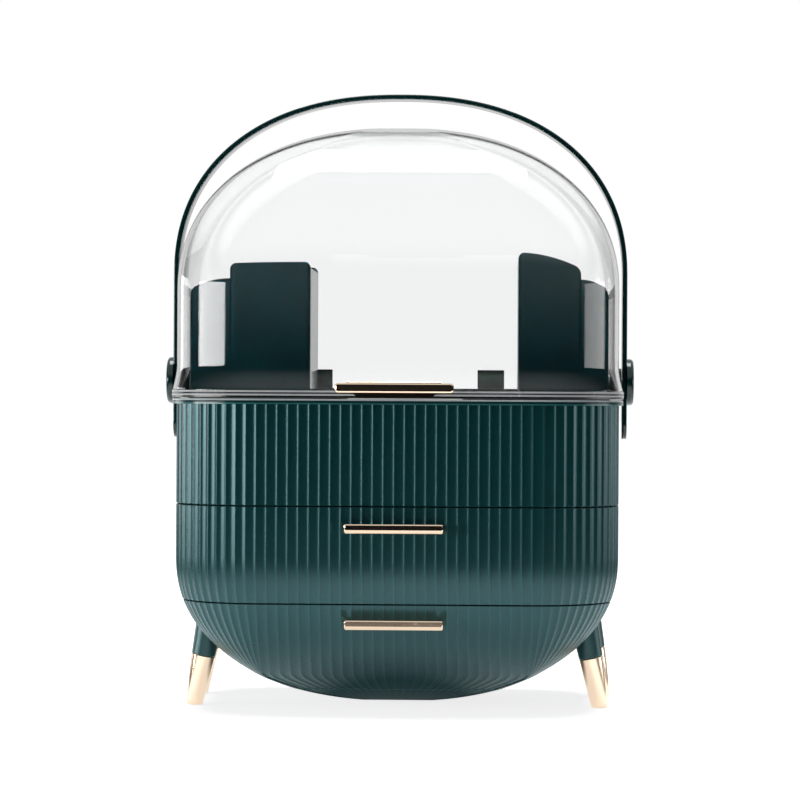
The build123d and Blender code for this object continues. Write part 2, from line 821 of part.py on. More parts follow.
# Body pieces
save("tub_shell", make_tub())
save("rim_band", make_rim_band())
save("rear_casing", make_casing())
save("drawer_shelf", make_shelf())
upper_lip_bottom = upper_tray_top - upper_lip_drop - lip_height
lower_lip_bottom = lower_tray_top - lower_lip_drop - lip_height
save("upper_rails", *make_rails(upper_lip_bottom, upper_tray_half_width + rail_side_gap))
save("lower_rails", *make_rails(lower_lip_bottom, lower_tray_half_width + rail_side_gap))
save("casing_screws", *[casing_screw(x, y, 0) for x, y in casing_screw_places()])
save("right_bin", make_bin(right_bin_inner_edge, right_bin_tall_width, right_bin_height,
                           right_bin_shoulder_drop))
save("left_bin", mirror(make_bin(left_bin_inner_edge, left_bin_tall_width, left_bin_height,
                                 left_bin_shoulder_drop), Plane.YZ))
save("leg_screws", *[leg_screw(x, y, 0) for x, y in leg_places.values()])
for place, (x, y) in leg_places.items():
    save(f"{place}_leg_sleeve", make_leg_sleeve(x, y))
    save(f"{place}_leg_tip", make_leg_tip(x, y))
save("hinge_brackets", *make_brackets())
save("hinge_pins", *make_hinge_pins())
save("hinge_screws", *bracket_screws(0))

# Drawers
save("upper_drawer_front", make_front(front_middle_low, front_top, upper_bar_height,
                                      upper_tray_half_width - tray_wall, upper_tray_top - tray_floor))
save("lower_drawer_front", make_front(belly_flat_height, front_middle_high, lower_bar_height,
                                      lower_tray_half_width - tray_wall, lower_tray_top - tray_floor))
save("upper_drawer_tray", with_lips_and_holes(make_upper_tray(), upper_tray_half_width, upper_lip_bottom,
                                              lip_width, upper_bar_height))
save("lower_drawer_tray", with_lips_and_holes(make_lower_tray(), lower_tray_half_width, lower_lip_bottom,
                                              lower_lip_width, lower_bar_height))
save("upper_drawer_bar", make_bar(upper_bar_height))
save("lower_drawer_bar", make_bar(lower_bar_height))
save("upper_bar_screws", *bar_screws(upper_bar_height, bar_seat(upper_bar_height), 0))
save("lower_bar_screws", *bar_screws(lower_bar_height, bar_seat(lower_bar_height), 0))

# Lid
save("lid_dome", make_dome())
save("lid_seal", ring(flange_half_width - seal_setback, flange_half_depth - seal_setback,
                      flange_width, seal_bottom, flange_bottom))
save("lid_tab", make_tab())
save("lid_latch", make_latch())
save("hinge_leaves", *make_leaves())
right_boss, left_boss = make_bosses()
save("right_pivot_boss", right_boss)
save("left_pivot_boss", left_boss)
save("pivot_pins", *pivot_pins(0))

# Handle
right_cap, left_cap = make_caps()
save("handle_strap", make_strap())
save("right_handle_cap", right_cap)
save("left_handle_cap", left_cap)
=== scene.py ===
import bmesh
import bpy
import math
import numpy as np
from mathutils import Euler, Matrix, Vector


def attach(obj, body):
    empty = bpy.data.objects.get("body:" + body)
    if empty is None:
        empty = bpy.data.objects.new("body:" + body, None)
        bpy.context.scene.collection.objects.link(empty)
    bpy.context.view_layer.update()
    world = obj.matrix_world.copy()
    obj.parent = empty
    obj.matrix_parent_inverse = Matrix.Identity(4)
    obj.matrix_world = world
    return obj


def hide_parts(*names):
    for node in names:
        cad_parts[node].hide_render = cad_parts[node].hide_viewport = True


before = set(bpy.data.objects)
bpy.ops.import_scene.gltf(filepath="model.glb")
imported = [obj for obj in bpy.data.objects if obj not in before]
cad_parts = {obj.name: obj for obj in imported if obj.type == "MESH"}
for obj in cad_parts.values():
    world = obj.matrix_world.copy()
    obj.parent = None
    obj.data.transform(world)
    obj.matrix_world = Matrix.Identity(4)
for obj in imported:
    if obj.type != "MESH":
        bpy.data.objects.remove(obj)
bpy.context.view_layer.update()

# Makeup box with a clear dome. Every length below is in millimetres and becomes metres when a mesh is made.

# Body: rounded rectangle with flutes all round, and a belly that draws in towards the bottom. Its smooth
# inside lies INSET behind the outline, and WEB is the thickness of a drawer front's webs.
HALF_WIDTH, HALF_DEPTH, CORNER = 148.5, 112.0, 60.0
FLAT_X, FLAT_Y = HALF_WIDTH - CORNER, HALF_DEPTH - CORNER
LEAST_CORNER = 4.0
FLUTES, FLUTE_DEPTH, CREST = 135, 1.1, 0.9
INSET, WEB = 4.1, 2.2
BELLY_TOP, BELLY_BOTTOM, BELLY_FLAT = 102.0, 0.0, 2.0
BELLY_POWERS = 2.3, 1.79
BELLY_FLOOR = 3.5

# Tub, seams between tub, drawers and casing, and how far the skin draws in beside a seam
TUB_BOTTOM, TUB_FLOOR, TUB_TOP, TUB_FILLET = 137.0, 140.5, 203.3, 1.5
SPLIT, SEAM, SEAM_EDGE = 52.0, 0.4, 0.35
SEAMS = 72.5, 136.6
UPPER_TRAY_HALF, LOWER_TRAY_HALF, TRAY_WALL = 129.0, 115.0, 2.0

# Rim band, seal and flange; their overhang is counted from the body's flat sides
RIM_TOP, SEAL_LOW, FLANGE_LOW, FLANGE_TOP = 207.0, 207.3, 209.8, 212.3
RIM_OVERHANG, SEAL_OVERHANG, SEAL_INSET, FLANGE_OVERHANG = 2.7, 2.9, 2.7, 3.1
FROSTED_LOW, FROSTED_WIDTH = 208.9, 0.5

# Dome
DOME_HALF_WIDTH, DOME_HALF_DEPTH, DOME_WALL = 148.2, 111.7, 2.2
FLARE, FLARE_POWER, FLARE_TOP = 3.0, 1.3, 228.3
SHOULDER, RISE, DOME_POWER = 280.0, 112.5, 2.15

# Handle, its caps and the bosses that carry it
PIVOT, STRAP_INNER, STRAP_THICK, STRAP_EDGE = 219.4, 152.1, 3.2, 0.9
STRAP_OUTER = STRAP_INNER + STRAP_THICK
STRAP_LOW, STRAP_BASE, STRAP_TOP = 180.3, 290.0, 415.5
STRAP_HALF, STRAP_POWER = 11.0, 2.27
CAP_RADIUS, CAP_HEIGHT, CAP_FILLET = 15.8, 4.6, 2.4
BOSS_RADIUS, BOSS_BORE, BOSS_IN, BOSS_OUT, BOSS_FILLET = 9.4, 3.1, 146.0, 151.7, 0.5

# Bar pulls and pull tab
BAR_HALF, BAR_TALL, BAR_REACH, BAR_CORNER = 32.3, 3.1, 10.0, 1.2
UPPER_BAR, LOWER_BAR = 122.4, 59.2
TAB_HALF, TAB_LOW, TAB_HIGH, TAB_BACK, TAB_FRONT = 38.6, 211.0, 217.3, 113.4, 122.6

# Bins
BIN_OUTER, BIN_FRONT, BIN_BACK, BIN_CORNER, BIN_WALL = 143.2, -32.0, 62.0, 3.0, 2.0
BIN_LOW_TOP, BIN_LOW_FALL, BIN_EASE = 288.5, 7.5, 4.0

# Legs: they lean outwards, and their metal tips are cut level by the floor
LEAN = math.radians(10.7)
JOINT = 33.5 / math.cos(LEAN)
TIP_END, TIP_FILLET, TIP_RADIUS, JOINT_RADIUS = -0.9, 3.2, 5.95, 8.1
SLEEVE_LONG, SLEEVE_RADIUS = 40.0, 10.0
FEET = {"front_left": (-137.1, -40.0), "front_right": (137.1, -40.0),
        "rear_left": (-141.3, 44.0), "rear_right": (141.3, 44.0)}


# Surfaces

def piece(name, verts, faces, material, body, replaced, phase=None, sharp=35):
    """A mesh from points in millimetres and lists of corner numbers. Doubles are merged and flat faces
    dropped; edges that turn more than sharp degrees stay crisp. phase is a value for each point, kept as
    the attribute that places the painted highlight on the flute ridges."""
    mesh = bpy.data.meshes.new(name)
    mesh.from_pydata(np.asarray(verts, float) * 0.001, [], faces)
    if phase is not None:
        mesh.attributes.new("phase", "FLOAT", "POINT").data.foreach_set("value", phase.astype(np.float32))
    tidy(mesh)
    mesh.shade_smooth()
    mesh.set_sharp_from_angle(angle=math.radians(sharp))
    mesh.materials.append(material)
    made = bpy.data.objects.new(name, mesh)
    bpy.context.scene.collection.objects.link(made)
    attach(made, body)
    if replaced:
        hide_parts(*replaced)
    return made


def tidy(mesh):
    """Merges points that fall together, drops faces with no area and turns all faces outwards."""
    work = bmesh.new()
    work.from_mesh(mesh)
    bmesh.ops.remove_doubles(work, verts=work.verts, dist=2e-6)
    bmesh.ops.dissolve_degenerate(work, edges=work.edges, dist=1e-6)
    bmesh.ops.recalc_face_normals(work, faces=work.faces)
    work.to_mesh(mesh)
    work.free()


def grid_faces(rows, columns, close_rows, close_columns, first=0):
    """Four-sided faces between the neighbours of a grid of points that is stored row by row."""
    r = np.arange(rows if close_rows else rows - 1)
    c = np.arange(columns if close_columns else columns - 1)
    r, c = (a.ravel() for a in np.meshgrid(r, c, indexing="ij"))
    r2, c2 = (r + 1) % rows, (c + 1) % columns
    corners = np.stack([r * columns + c, r * columns + c2, r2 * columns + c2, r2 * columns + c], axis=1)
    return (corners + first).tolist()


def outline(share, half_width, half_depth):
    """Rounded rectangle walked from the front centre towards +X: nine runs, straight and quarter arc in
    turn, each as long as on the full outline. Returns the points, outward normals and how much of the
    full flute depth is kept there."""
    share = np.mod(np.asarray(share, float), 1.0)
    run_x, run_y = min(FLAT_X, half_width - LEAST_CORNER), min(FLAT_Y, half_depth - LEAST_CORNER)
    corner_x, corner_y = half_width - run_x, half_depth - run_y
    quarter = math.pi / 2 * CORNER
    runs = np.array([FLAT_X, quarter, 2 * FLAT_Y, quarter, 2 * FLAT_X, quarter, 2 * FLAT_Y, quarter,
                     FLAT_X])
    ends = np.cumsum(runs)
    along = share * ends[-1]
    index = np.clip(np.searchsorted(ends, along, side="left"), 0, 8)
    part = (along - (ends - runs)[index]) / runs[index]
    turn = np.radians(90 * (index - 1) / 2 - 90 + 90 * part)
    side = np.where(np.isin(index, (1, 3)), 1.0, -1.0)
    back = np.where(np.isin(index, (3, 5)), 1.0, -1.0)
    x = side * run_x + corner_x * np.cos(turn)
    y = back * run_y + corner_y * np.sin(turn)
    nx, ny = np.cos(turn) * corner_y, np.sin(turn) * corner_x
    flats = {0: (part * run_x, -half_depth, 0, -1), 2: (half_width, run_y * (2 * part - 1), 1, 0),
             4: (run_x * (1 - 2 * part), half_depth, 0, 1), 6: (-half_width, run_y * (1 - 2 * part), -1, 0),
             8: (run_x * (part - 1), -half_depth, 0, -1)}
    kept = np.full(share.shape, min(1.0, min(corner_x, corner_y) / CORNER))
    for number, (fx, fy, fnx, fny) in flats.items():
        here = index == number
        x, y = np.where(here, fx, x), np.where(here, fy, y)
        nx, ny = np.where(here, fnx, nx), np.where(here, fny, ny)
        kept = np.where(here, run_y / FLAT_Y if number in (2, 6) else run_x / FLAT_X, kept)
    length = np.hypot(nx, ny)
    return np.stack([x, y], 1), np.stack([nx / length, ny / length], 1), kept


def belly(z):
    """Share of the full outline at height z: one above the belly, then an arc with two powers."""
    drop = np.clip((BELLY_TOP - z) / (BELLY_TOP - BELLY_BOTTOM), 0, 0.999)
    return (1 - drop ** BELLY_POWERS[0]) ** (1 / BELLY_POWERS[1])


def belly_height(share):
    """Height at which the belly keeps that share of the full outline."""
    drop = (1 - share ** BELLY_POWERS[1]) ** (1 / BELLY_POWERS[0])
    return BELLY_TOP - (BELLY_TOP - BELLY_BOTTOM) * drop


def ring(share, z, scale_z=None, inset=0.0, flutes=False, limit=None):
    """One row of points at height z. Its outline is the body's at height scale_z, set in by inset. With
    flutes, each point moves in by the flute's depth times one less the square of its place between two
    ridges, eased near the ridge so that its crest is round. limit stops x at that half width."""
    share_z = belly(z if scale_z is None else scale_z)
    points, normals, kept = outline(share, HALF_WIDTH * share_z - inset, HALF_DEPTH * share_z - inset)
    if flutes:
        place = np.abs(flute_phase(share))
        past = place - CREST
        eased = 1 - CREST ** 2 - 2 * CREST * past + CREST / (1 - CREST) * past ** 2
        sag = np.where(place < CREST, 1 - place ** 2, eased)
        points = points - normals * (FLUTE_DEPTH * kept * sag)[:, None]
    if limit is not None:
        points[:, 0] = np.clip(points[:, 0], -limit, limit)
    return np.column_stack([points, np.full(len(points), z)])


def flute_phase(share):
    """Place within a flute: 0 in its middle, -1 and 1 on the ridges at its sides."""
    return 2 * np.mod(np.asarray(share) * FLUTES, 1.0) - 1


def flute_columns(low=0.0, high=1.0):
    """Shares of the outline with twelve columns to a flute, close together near the ridges."""
    steps = np.array([0, 0.02, 0.05, 0.1, 0.2, 0.34, 0.5, 0.66, 0.8, 0.9, 0.95, 0.98]) / FLUTES
    starts = np.arange(math.floor(low * FLUTES) - 1, math.ceil(high * FLUTES) + 1) / FLUTES
    every = (starts[:, None] + steps).ravel()
    return every[(every >= low - 1e-9) & (every <= high + 1e-9)]


def all_round():
    """Flute columns once round the body, without a second one where the ends meet."""
    return flute_columns(0.0, 1.0 - 1e-6)


def split_share(z, depth, inset=0.0, lift=0.0):
    """Share of the outline at which the row at height z crosses the split plane."""
    half_depth = HALF_DEPTH * belly(z - lift) - inset
    run_y = min(FLAT_Y, half_depth - LEAST_CORNER)
    corner_y = half_depth - run_y
    turn = math.asin(np.clip((run_y - depth) / corner_y, -1, 1))
    total = 4 * (FLAT_X + FLAT_Y) + 2 * math.pi * CORNER
    return (FLAT_X + CORNER * (turn + math.pi / 2)) / total


def belly_rows(low, high, count):
    """Heights from low to high, closer together towards the bottom where the outline turns fast. None of
    them lies within the least step of either end."""
    least_step = 0.5
    turn = np.linspace(0, 1, count)
    curved = BELLY_TOP - (BELLY_TOP - BELLY_FLAT) * np.sin(math.pi / 2 * turn)
    inside = curved[(curved > low + least_step) & (curved < high - least_step)]
    return np.concatenate([[low], np.sort(inside), [high]])


def side_caps(count, columns):
    """Two faces that close the sides of a skin: along the first points of its rows and the last ones."""
    first = [r * columns for r in range(count)]
    return [first, [start + columns - 1 for start in reversed(first)]]


def drawer_front(name, low, high, limit, body, lower_web):
    """Fluted front of a drawer: rows go up the outside, over the upper web as far as the inside of the
    tray, down the inside and, where there is one, back along the lower web. All of them stop at the
    split plane."""
    depth = SPLIT + SEAM
    widest = split_share(high, depth)
    columns = flute_columns(-widest, widest)
    columns = np.concatenate([[-widest], columns[(columns > -widest) & (columns < widest)], [widest]])

    def row(z, lift=0.0, inset=0.0, flutes=False, stop=None):
        edge = split_share(z, depth, inset, lift)
        return ring(np.clip(columns, -edge, edge), z, z - lift, inset, flutes, limit=stop)

    rows = [row(z, flutes=True) for z in belly_rows(low, high - SEAM_EDGE, 34)]
    rows.append(row(high, inset=SEAM_EDGE, flutes=True))
    hollow_low = max(low + WEB, BELLY_FLOOR + belly_height((depth + INSET) / HALF_DEPTH))
    rows += [row(z, BELLY_FLOOR + TRAY_WALL, INSET + TRAY_WALL, stop=limit) for z in (high, high - WEB)]
    rows += [row(z, BELLY_FLOOR, INSET) for z in belly_rows(hollow_low, high - WEB, 18)[::-1]]
    if lower_web:
        web_reach = 40.0
        rows += [row(z, BELLY_FLOOR, web_reach) for z in (low + WEB, low)]
        rows.append(row(low, 0, SEAM_EDGE, True))
    faces = grid_faces(len(rows), len(columns), True, False) + side_caps(len(rows), len(columns))
    return piece(name, np.concatenate(rows), faces, green_body, body, [name.replace("fluted_", "")],
                 np.tile(flute_phase(columns), len(rows)))


def rear_casing():
    """Fluted casing behind the split plane: an open strip above, a closed bowl at the bottom."""
    depth = SPLIT - SEAM
    middle = belly_height(depth / HALF_DEPTH)
    inner_low = BELLY_FLOOR + belly_height((depth + INSET) / HALF_DEPTH)
    columns = flute_columns()

    def row(z, lift=0.0, inset=0.0, flutes=False):
        edge = split_share(z, depth, inset, lift)
        return ring(np.clip(columns, edge, 1 - edge), z, z - lift, inset, flutes)

    rows = [row(z, flutes=True) for z in belly_rows(middle, TUB_BOTTOM - SEAM_EDGE, 34)]
    rows.append(row(TUB_BOTTOM, inset=SEAM_EDGE, flutes=True))
    rows += [row(z, BELLY_FLOOR, INSET) for z in belly_rows(inner_low, TUB_BOTTOM, 22)[::-1]]
    points = np.concatenate(rows)
    faces = grid_faces(len(rows), len(columns), False, False) + side_caps(len(rows), len(columns))
    phase = [np.tile(flute_phase(columns), len(rows))]

    whole = all_round()
    bowl = [ring(whole, z, flutes=True) for z in belly_rows(BELLY_FLAT, middle, 34)[::-1]]
    inner = [ring(whole, z, z - BELLY_FLOOR, INSET)
             for z in belly_rows(BELLY_FLAT + BELLY_FLOOR, inner_low, 20)[::-1]]
    for part in (bowl, inner):
        part += [part[-1] * [0.5, 0.5, 1], part[-1] * [0, 0, 1]]
        faces += grid_faces(len(part), len(whole), False, True, len(points))
        points = np.concatenate([points] + part)
        phase.append(np.tile(flute_phase(whole), len(part)))

    edge = split_share(middle, depth)
    front = flute_columns(-edge, edge)
    strip = [ring(front, middle), ring(front, inner_low, inner_low - BELLY_FLOOR, INSET)]
    faces += grid_faces(2, len(front), False, False, len(points))
    points = np.concatenate([points] + strip)
    phase.append(np.tile(flute_phase(front), 2))
    return piece("fluted_rear_casing", points, faces, green_body, "base", ["rear_casing"],
                 np.concatenate(phase))


def tub():
    """Fluted wall with a floor: up the outside, over the top, down the inside and across the floor."""
    columns = all_round()
    rows = [ring(columns, TUB_BOTTOM, inset=SEAM_EDGE, flutes=True)]
    rows += [ring(columns, z, flutes=True) for z in np.linspace(TUB_BOTTOM + SEAM_EDGE, TUB_TOP, 5)]
    rows += [ring(columns, TUB_TOP, inset=INSET), ring(columns, TUB_FLOOR + TUB_FILLET, inset=INSET)]
    rows += [ring(columns, TUB_FLOOR, inset=INSET + TUB_FILLET)]
    rows += [rows[-1] * [s, s, 1] for s in (0.6, 0.0)]
    rows = [rows[0] * [s, s, 1] for s in (0.0, 0.6)] + rows
    faces = grid_faces(len(rows), len(columns), False, True)
    return piece("fluted_tub", np.concatenate(rows), faces, green_body, "base", ["tub_shell"],
                 np.tile(flute_phase(columns), len(rows)))


def hoop(name, profile, material, body, replaced):
    """Ring round the body: each profile entry is (overhang past the body, height), joined in a loop."""
    columns = 320
    share = np.arange(columns) / columns
    rows = []
    for overhang, z in profile:
        points, _, _ = outline(share, HALF_WIDTH + overhang, HALF_DEPTH + overhang)
        rows.append(np.column_stack([points, np.full(columns, z)]))
    faces = grid_faces(len(rows), columns, True, True)
    return piece(name, np.concatenate(rows), faces, material, body, replaced)


def dome_row(share, z, scale, spread):
    """Row of the dome: the plain outline times scale, spread outwards by spread."""
    half_width, half_depth = DOME_HALF_WIDTH * scale + spread, DOME_HALF_DEPTH * scale + spread
    points, _, _ = outline(share, DOME_HALF_WIDTH, DOME_HALF_DEPTH)
    flat = np.clip(points, [-FLAT_X, -FLAT_Y], [FLAT_X, FLAT_Y])
    arc = (points - flat) / [DOME_HALF_WIDTH - FLAT_X, DOME_HALF_DEPTH - FLAT_Y]
    corner = np.array([half_width - FLAT_X * scale, half_depth - FLAT_Y * scale])
    place = flat * scale + arc * corner
    return np.column_stack([place, np.full(len(share), z)])


def dome():
    """Clear dome: a flared skirt, straight sides, then an outline that shrinks by a power of the cosine
    while it rises by the same power of the sine. The inside is the same form, thinner and lower. The
    flange leaves room for the frosted ring round it."""
    columns = 360
    share = np.arange(columns) / columns
    turns = np.radians(np.concatenate([np.linspace(0, 60, 26), np.linspace(62, 89.9, 26)]))
    scales, rises = np.cos(turns) ** (2 / DOME_POWER), np.sin(turns) ** (2 / DOME_POWER)

    def form(thin, drop):
        skirt = np.linspace(FLANGE_TOP, FLARE_TOP, 9)
        flares = FLARE * ((FLARE_TOP - skirt) / (FLARE_TOP - FLANGE_TOP)) ** FLARE_POWER
        rows = [dome_row(share, z, 1.0, flare - thin) for z, flare in zip(skirt, flares)]
        rows += [dome_row(share, z, 1.0, -thin) for z in np.linspace(FLARE_TOP, SHOULDER, 5)[1:-1]]
        rows += [dome_row(share, SHOULDER + (RISE - drop) * b, a, -thin * a) for a, b in zip(scales, rises)]
        return rows + [rows[-1] * [0, 0, 1]]

    inner, outer = form(DOME_WALL, DOME_WALL), form(0.0, 0.0)
    edge = FLANGE_OVERHANG - FROSTED_WIDTH + (HALF_WIDTH - DOME_HALF_WIDTH)
    rounding = 0.4
    flange = [dome_row(share, z, 1.0, spread) for z, spread in (
        (FLANGE_LOW, FLARE - DOME_WALL), (FLANGE_LOW, edge - rounding), (FLANGE_LOW + rounding, edge),
        (FLANGE_TOP - 0.5, edge), (FLANGE_TOP, edge - 0.3))]
    rows = inner[::-1] + flange + outer
    faces = grid_faces(len(rows), columns, False, True)
    return piece("clear_dome", np.concatenate(rows), faces, clear_plastic, "lid", ["lid_dome"],
                 sharp=50)


def strap():
    """Handle: a superelliptic arch on straight sides, swept with a flat section whose long edges are
    rounded. Towards each end the section narrows along a half circle."""
    turn = np.linspace(0, math.pi, 161)
    low = STRAP_LOW + STRAP_HALF * (1 - np.cos(np.linspace(0, 1, 40) * math.pi / 2))
    sides = np.concatenate([low, np.linspace(low[-1], STRAP_BASE, 20)[1:-1]])

    def arch(reach, tall):
        x = reach * np.sign(np.cos(turn)) * np.abs(np.cos(turn)) ** (2 / STRAP_POWER)
        z = STRAP_BASE + tall * np.abs(np.sin(turn)) ** (2 / STRAP_POWER)
        ends = np.full(len(sides), reach)
        return np.column_stack([np.concatenate([ends, x, -ends]), np.concatenate([sides, z, sides[::-1]])])

    rise = STRAP_TOP - STRAP_BASE
    outer, inner = arch(STRAP_OUTER, rise), arch(STRAP_INNER, rise - STRAP_THICK)
    near = np.clip((outer[:, 1] - STRAP_LOW) / STRAP_HALF, 0, 1)
    width = STRAP_HALF * np.sqrt(1 - (1 - near) ** 2)
    quarter = [(STRAP_EDGE * (1 - math.sin(a)), STRAP_EDGE * (1 - math.cos(a)) / STRAP_THICK)
               for a in np.linspace(0, math.pi / 2, 5)]
    half = quarter + [(short, 1 - share) for short, share in quarter[::-1]]
    rows = []
    for sign, run in ((1, half), (-1, half[::-1])):
        for short, share in run:
            middle = outer + (inner - outer) * share
            rows.append(np.column_stack([middle[:, 0], sign * np.maximum(width - short, 0), middle[:, 1]]))
    faces = grid_faces(len(rows), len(outer), True, False) + side_caps(len(rows), len(outer))
    return piece("carrying_strap", np.concatenate(rows), faces, handle_green, "handle", ["handle_strap"])


def turned(profile, columns, place):
    """Surface of revolution: profile rows of (radius, height) turned about the third axis, then placed."""
    turn = np.arange(columns) / columns * 2 * math.pi
    rows = [np.column_stack([r * np.cos(turn), r * np.sin(turn), np.full(columns, h)]) for r, h in profile]
    points = place(np.concatenate(rows))
    return points, grid_faces(len(profile), columns, False, True)


def round_edge(radius, height, fillet, up=True, steps=6):
    """Profile of a rounded outer edge: a quarter arc that ends on the face at that height."""
    turn = np.linspace(0, math.pi / 2, steps)
    sign = 1 if up else -1
    rows = [(radius - fillet + fillet * math.cos(t), height - sign * (fillet - fillet * math.sin(t)))
            for t in turn]
    return rows if up else rows[::-1]


def cap(name, side):
    """Round cap over the handle's pivot, with a soft edge and a slightly hollow face."""
    profile = [(0, 0), (CAP_RADIUS, 0)] + round_edge(CAP_RADIUS, CAP_HEIGHT, CAP_FILLET)
    profile += [(11.5, CAP_HEIGHT - 0.1), (10.8, CAP_HEIGHT - 0.4), (0, CAP_HEIGHT - 0.5)]

    def place(p):
        return np.column_stack([side * (STRAP_OUTER + p[:, 2]), p[:, 0], PIVOT + p[:, 1]])

    points, faces = turned(profile, 96, place)
    return piece(f"round_{name}", points, faces, green_gloss, "handle", [name])


def boss(name, side):
    """Round boss through the side of the dome, with small rounded edges."""
    columns = 64
    profile = [(BOSS_BORE, BOSS_IN)] + round_edge(BOSS_RADIUS, BOSS_IN, BOSS_FILLET, False)
    profile += round_edge(BOSS_RADIUS, BOSS_OUT, BOSS_FILLET) + [(BOSS_BORE, BOSS_OUT)]

    def place(p):
        return np.column_stack([side * p[:, 2], p[:, 0], PIVOT + p[:, 1]])

    points, faces = turned(profile, columns, place)
    last = (len(profile) - 1) * columns
    faces += [[last + i, last + (i + 1) % columns, (i + 1) % columns, i] for i in range(columns)]
    return piece(f"round_{name}", points, faces, green_gloss, "lid", [name])


def on_leg(foot, p):
    """Points given along a leg's own axis, moved to that leg."""
    x, y = foot
    side = math.copysign(1, x)
    across = np.array([math.cos(LEAN), 0, side * math.sin(LEAN)])
    along = np.array([-side * math.sin(LEAN), 0, math.cos(LEAN)])
    return np.array([x, y, 0]) + p[:, :1] * across + p[:, 1:2] * np.array([0, 1, 0]) + p[:, 2:3] * along


def leg_tip(place, foot):
    """Metal tip: a cone with a rounded lower edge, cut level by the floor, with a bevel above."""
    top = JOINT - 0.15
    wide = TIP_RADIUS + (JOINT_RADIUS - TIP_RADIUS) * (top - TIP_END) / (JOINT - TIP_END)
    profile = [(0, TIP_END)] + round_edge(TIP_RADIUS, TIP_END, TIP_FILLET, False, 8)
    profile += [(wide - 0.02, top - 0.5), (wide - 0.45, top), (0, top)]

    def put(p):
        q = on_leg(foot, p)
        q[:, 2] = np.maximum(q[:, 2], 0.0)
        return q

    points, faces = turned(profile, 72, put)
    return piece(f"{place}_metal_tip", points, faces, gold, "base", [f"{place}_leg_tip"], sharp=30)


def leg_sleeve(place, foot):
    """Green sleeve: a cone that widens upwards and ends inside the body's wall. The height at which each
    of its lines meets the wall is found by halving the interval."""
    columns = 72
    turn = np.arange(columns) / columns * 2 * math.pi
    low, high = np.full(columns, JOINT), np.full(columns, JOINT + SLEEVE_LONG)
    into_wall, edge = 1.0, 0.5

    def line(along):
        radius = JOINT_RADIUS + (SLEEVE_RADIUS - JOINT_RADIUS) * (along - JOINT) / SLEEVE_LONG
        return on_leg(foot, np.column_stack([radius * np.cos(turn), radius * np.sin(turn), along]))

    for _ in range(24):
        middle = (low + high) / 2
        p = line(middle)
        inside = np.abs(p[:, 0]) < HALF_WIDTH * belly(p[:, 2]) - into_wall
        low, high = np.where(inside, low, middle), np.where(inside, middle, high)
    start = np.full(columns, JOINT)
    rows = [on_leg(foot, np.column_stack([r * np.cos(turn), r * np.sin(turn), start]))
            for r in (0.0, JOINT_RADIUS - 0.4)]
    rows.append(line(start + edge))
    rows += [line(start + edge + (low - start - edge) * s) for s in np.linspace(0.1, 1, 12)]
    rows.append(np.tile(rows[-1].mean(0), (columns, 1)))
    faces = grid_faces(len(rows), columns, False, True)
    return piece(f"{place}_green_sleeve", np.concatenate(rows), faces, green_satin, "base",
                 [f"{place}_leg_sleeve"])


def rounded_loop(x_low, x_high, z_low, z_high, radius, y):
    """Closed loop round a rectangle with rounded corners, all at depth y."""
    steps = 7
    turn = np.linspace(0, math.pi / 2, steps)
    centres = [(x_high - radius, z_high - radius, 0), (x_low + radius, z_high - radius, 1),
               (x_low + radius, z_low + radius, 2), (x_high - radius, z_low + radius, 3)]
    rows = [np.column_stack([cx + radius * np.cos(turn + q * math.pi / 2), np.full(steps, y),
                             cz + radius * np.sin(turn + q * math.pi / 2)]) for cx, cz, q in centres]
    return np.concatenate(rows)


def loft(loops):
    """Skin through closed loops with the same number of points, with a flat cap at both ends."""
    columns = len(loops[0])
    faces = grid_faces(len(loops), columns, False, True)
    faces += [list(range(columns))[::-1], [(len(loops) - 1) * columns + i for i in range(columns)]]
    return np.concatenate(loops), faces


def bar(name, z, surface, body):
    """Bar pull: a narrow bevel above and at the ends, a wide one below, and a flat front face. Each loop is
    given by how far it lies behind the front, draws in at the ends and top, and rises at the bottom."""
    reach = surface + BAR_REACH
    into_front = 1.0
    steps = [(BAR_REACH + into_front, 0.0, 0.0, BAR_CORNER), (2.0, 0.0, 0.0, BAR_CORNER),
             (1.6, 0.0, 0.25, BAR_CORNER), (0.75, 0.0, 1.4, BAR_CORNER),
             (0.5, 0.1, 1.7, BAR_CORNER - 0.1), (0.0, 0.75, 2.35, BAR_CORNER / 2)]
    loops = [rounded_loop(-BAR_HALF + draw, BAR_HALF - draw, z - BAR_TALL + rise, z + BAR_TALL - draw, corner,
                          -(reach - behind)) for behind, draw, rise, corner in steps]
    points, faces = loft(loops)
    return piece(f"bevelled_{name}", points, faces, gold, body, [name], sharp=25)


def joined(points, faces, more, more_faces):
    """Points and faces of two skins as one mesh."""
    return np.concatenate([points, more]), faces + [[i + len(points) for i in f] for f in more_faces]


def tab():
    """Pull tab: a bevelled plate with round ends and a low ridge behind its upper edge."""
    steps = [(-TAB_BACK, 0.0, 0.0, 0.0, 2.0), (-TAB_FRONT + 0.8, 0.0, 0.0, 0.0, 2.0),
             (-TAB_FRONT + 0.5, 0.12, 0.12, 0.12, 1.9), (-TAB_FRONT, 0.8, 0.95, 0.9, 1.3)]
    plate = [rounded_loop(-TAB_HALF + draw, TAB_HALF - draw, TAB_LOW + rise, TAB_HIGH - drop, corner, y)
             for y, draw, rise, drop, corner in steps]
    ridge_half = 31.0
    ridge = [rounded_loop(-ridge_half + draw, ridge_half - draw, TAB_HIGH - 1.5, TAB_HIGH + tall, 0.4, y)
             for y, draw, tall in ((-TAB_BACK, 0.0, 1.0), (-118.3, 0.0, 1.0), (-118.9, 0.5, 0.6))]
    points, faces = joined(*loft(plate), *loft(ridge))
    return piece("bevelled_tab", points, faces, gold, "lid", ["lid_tab"], sharp=25)


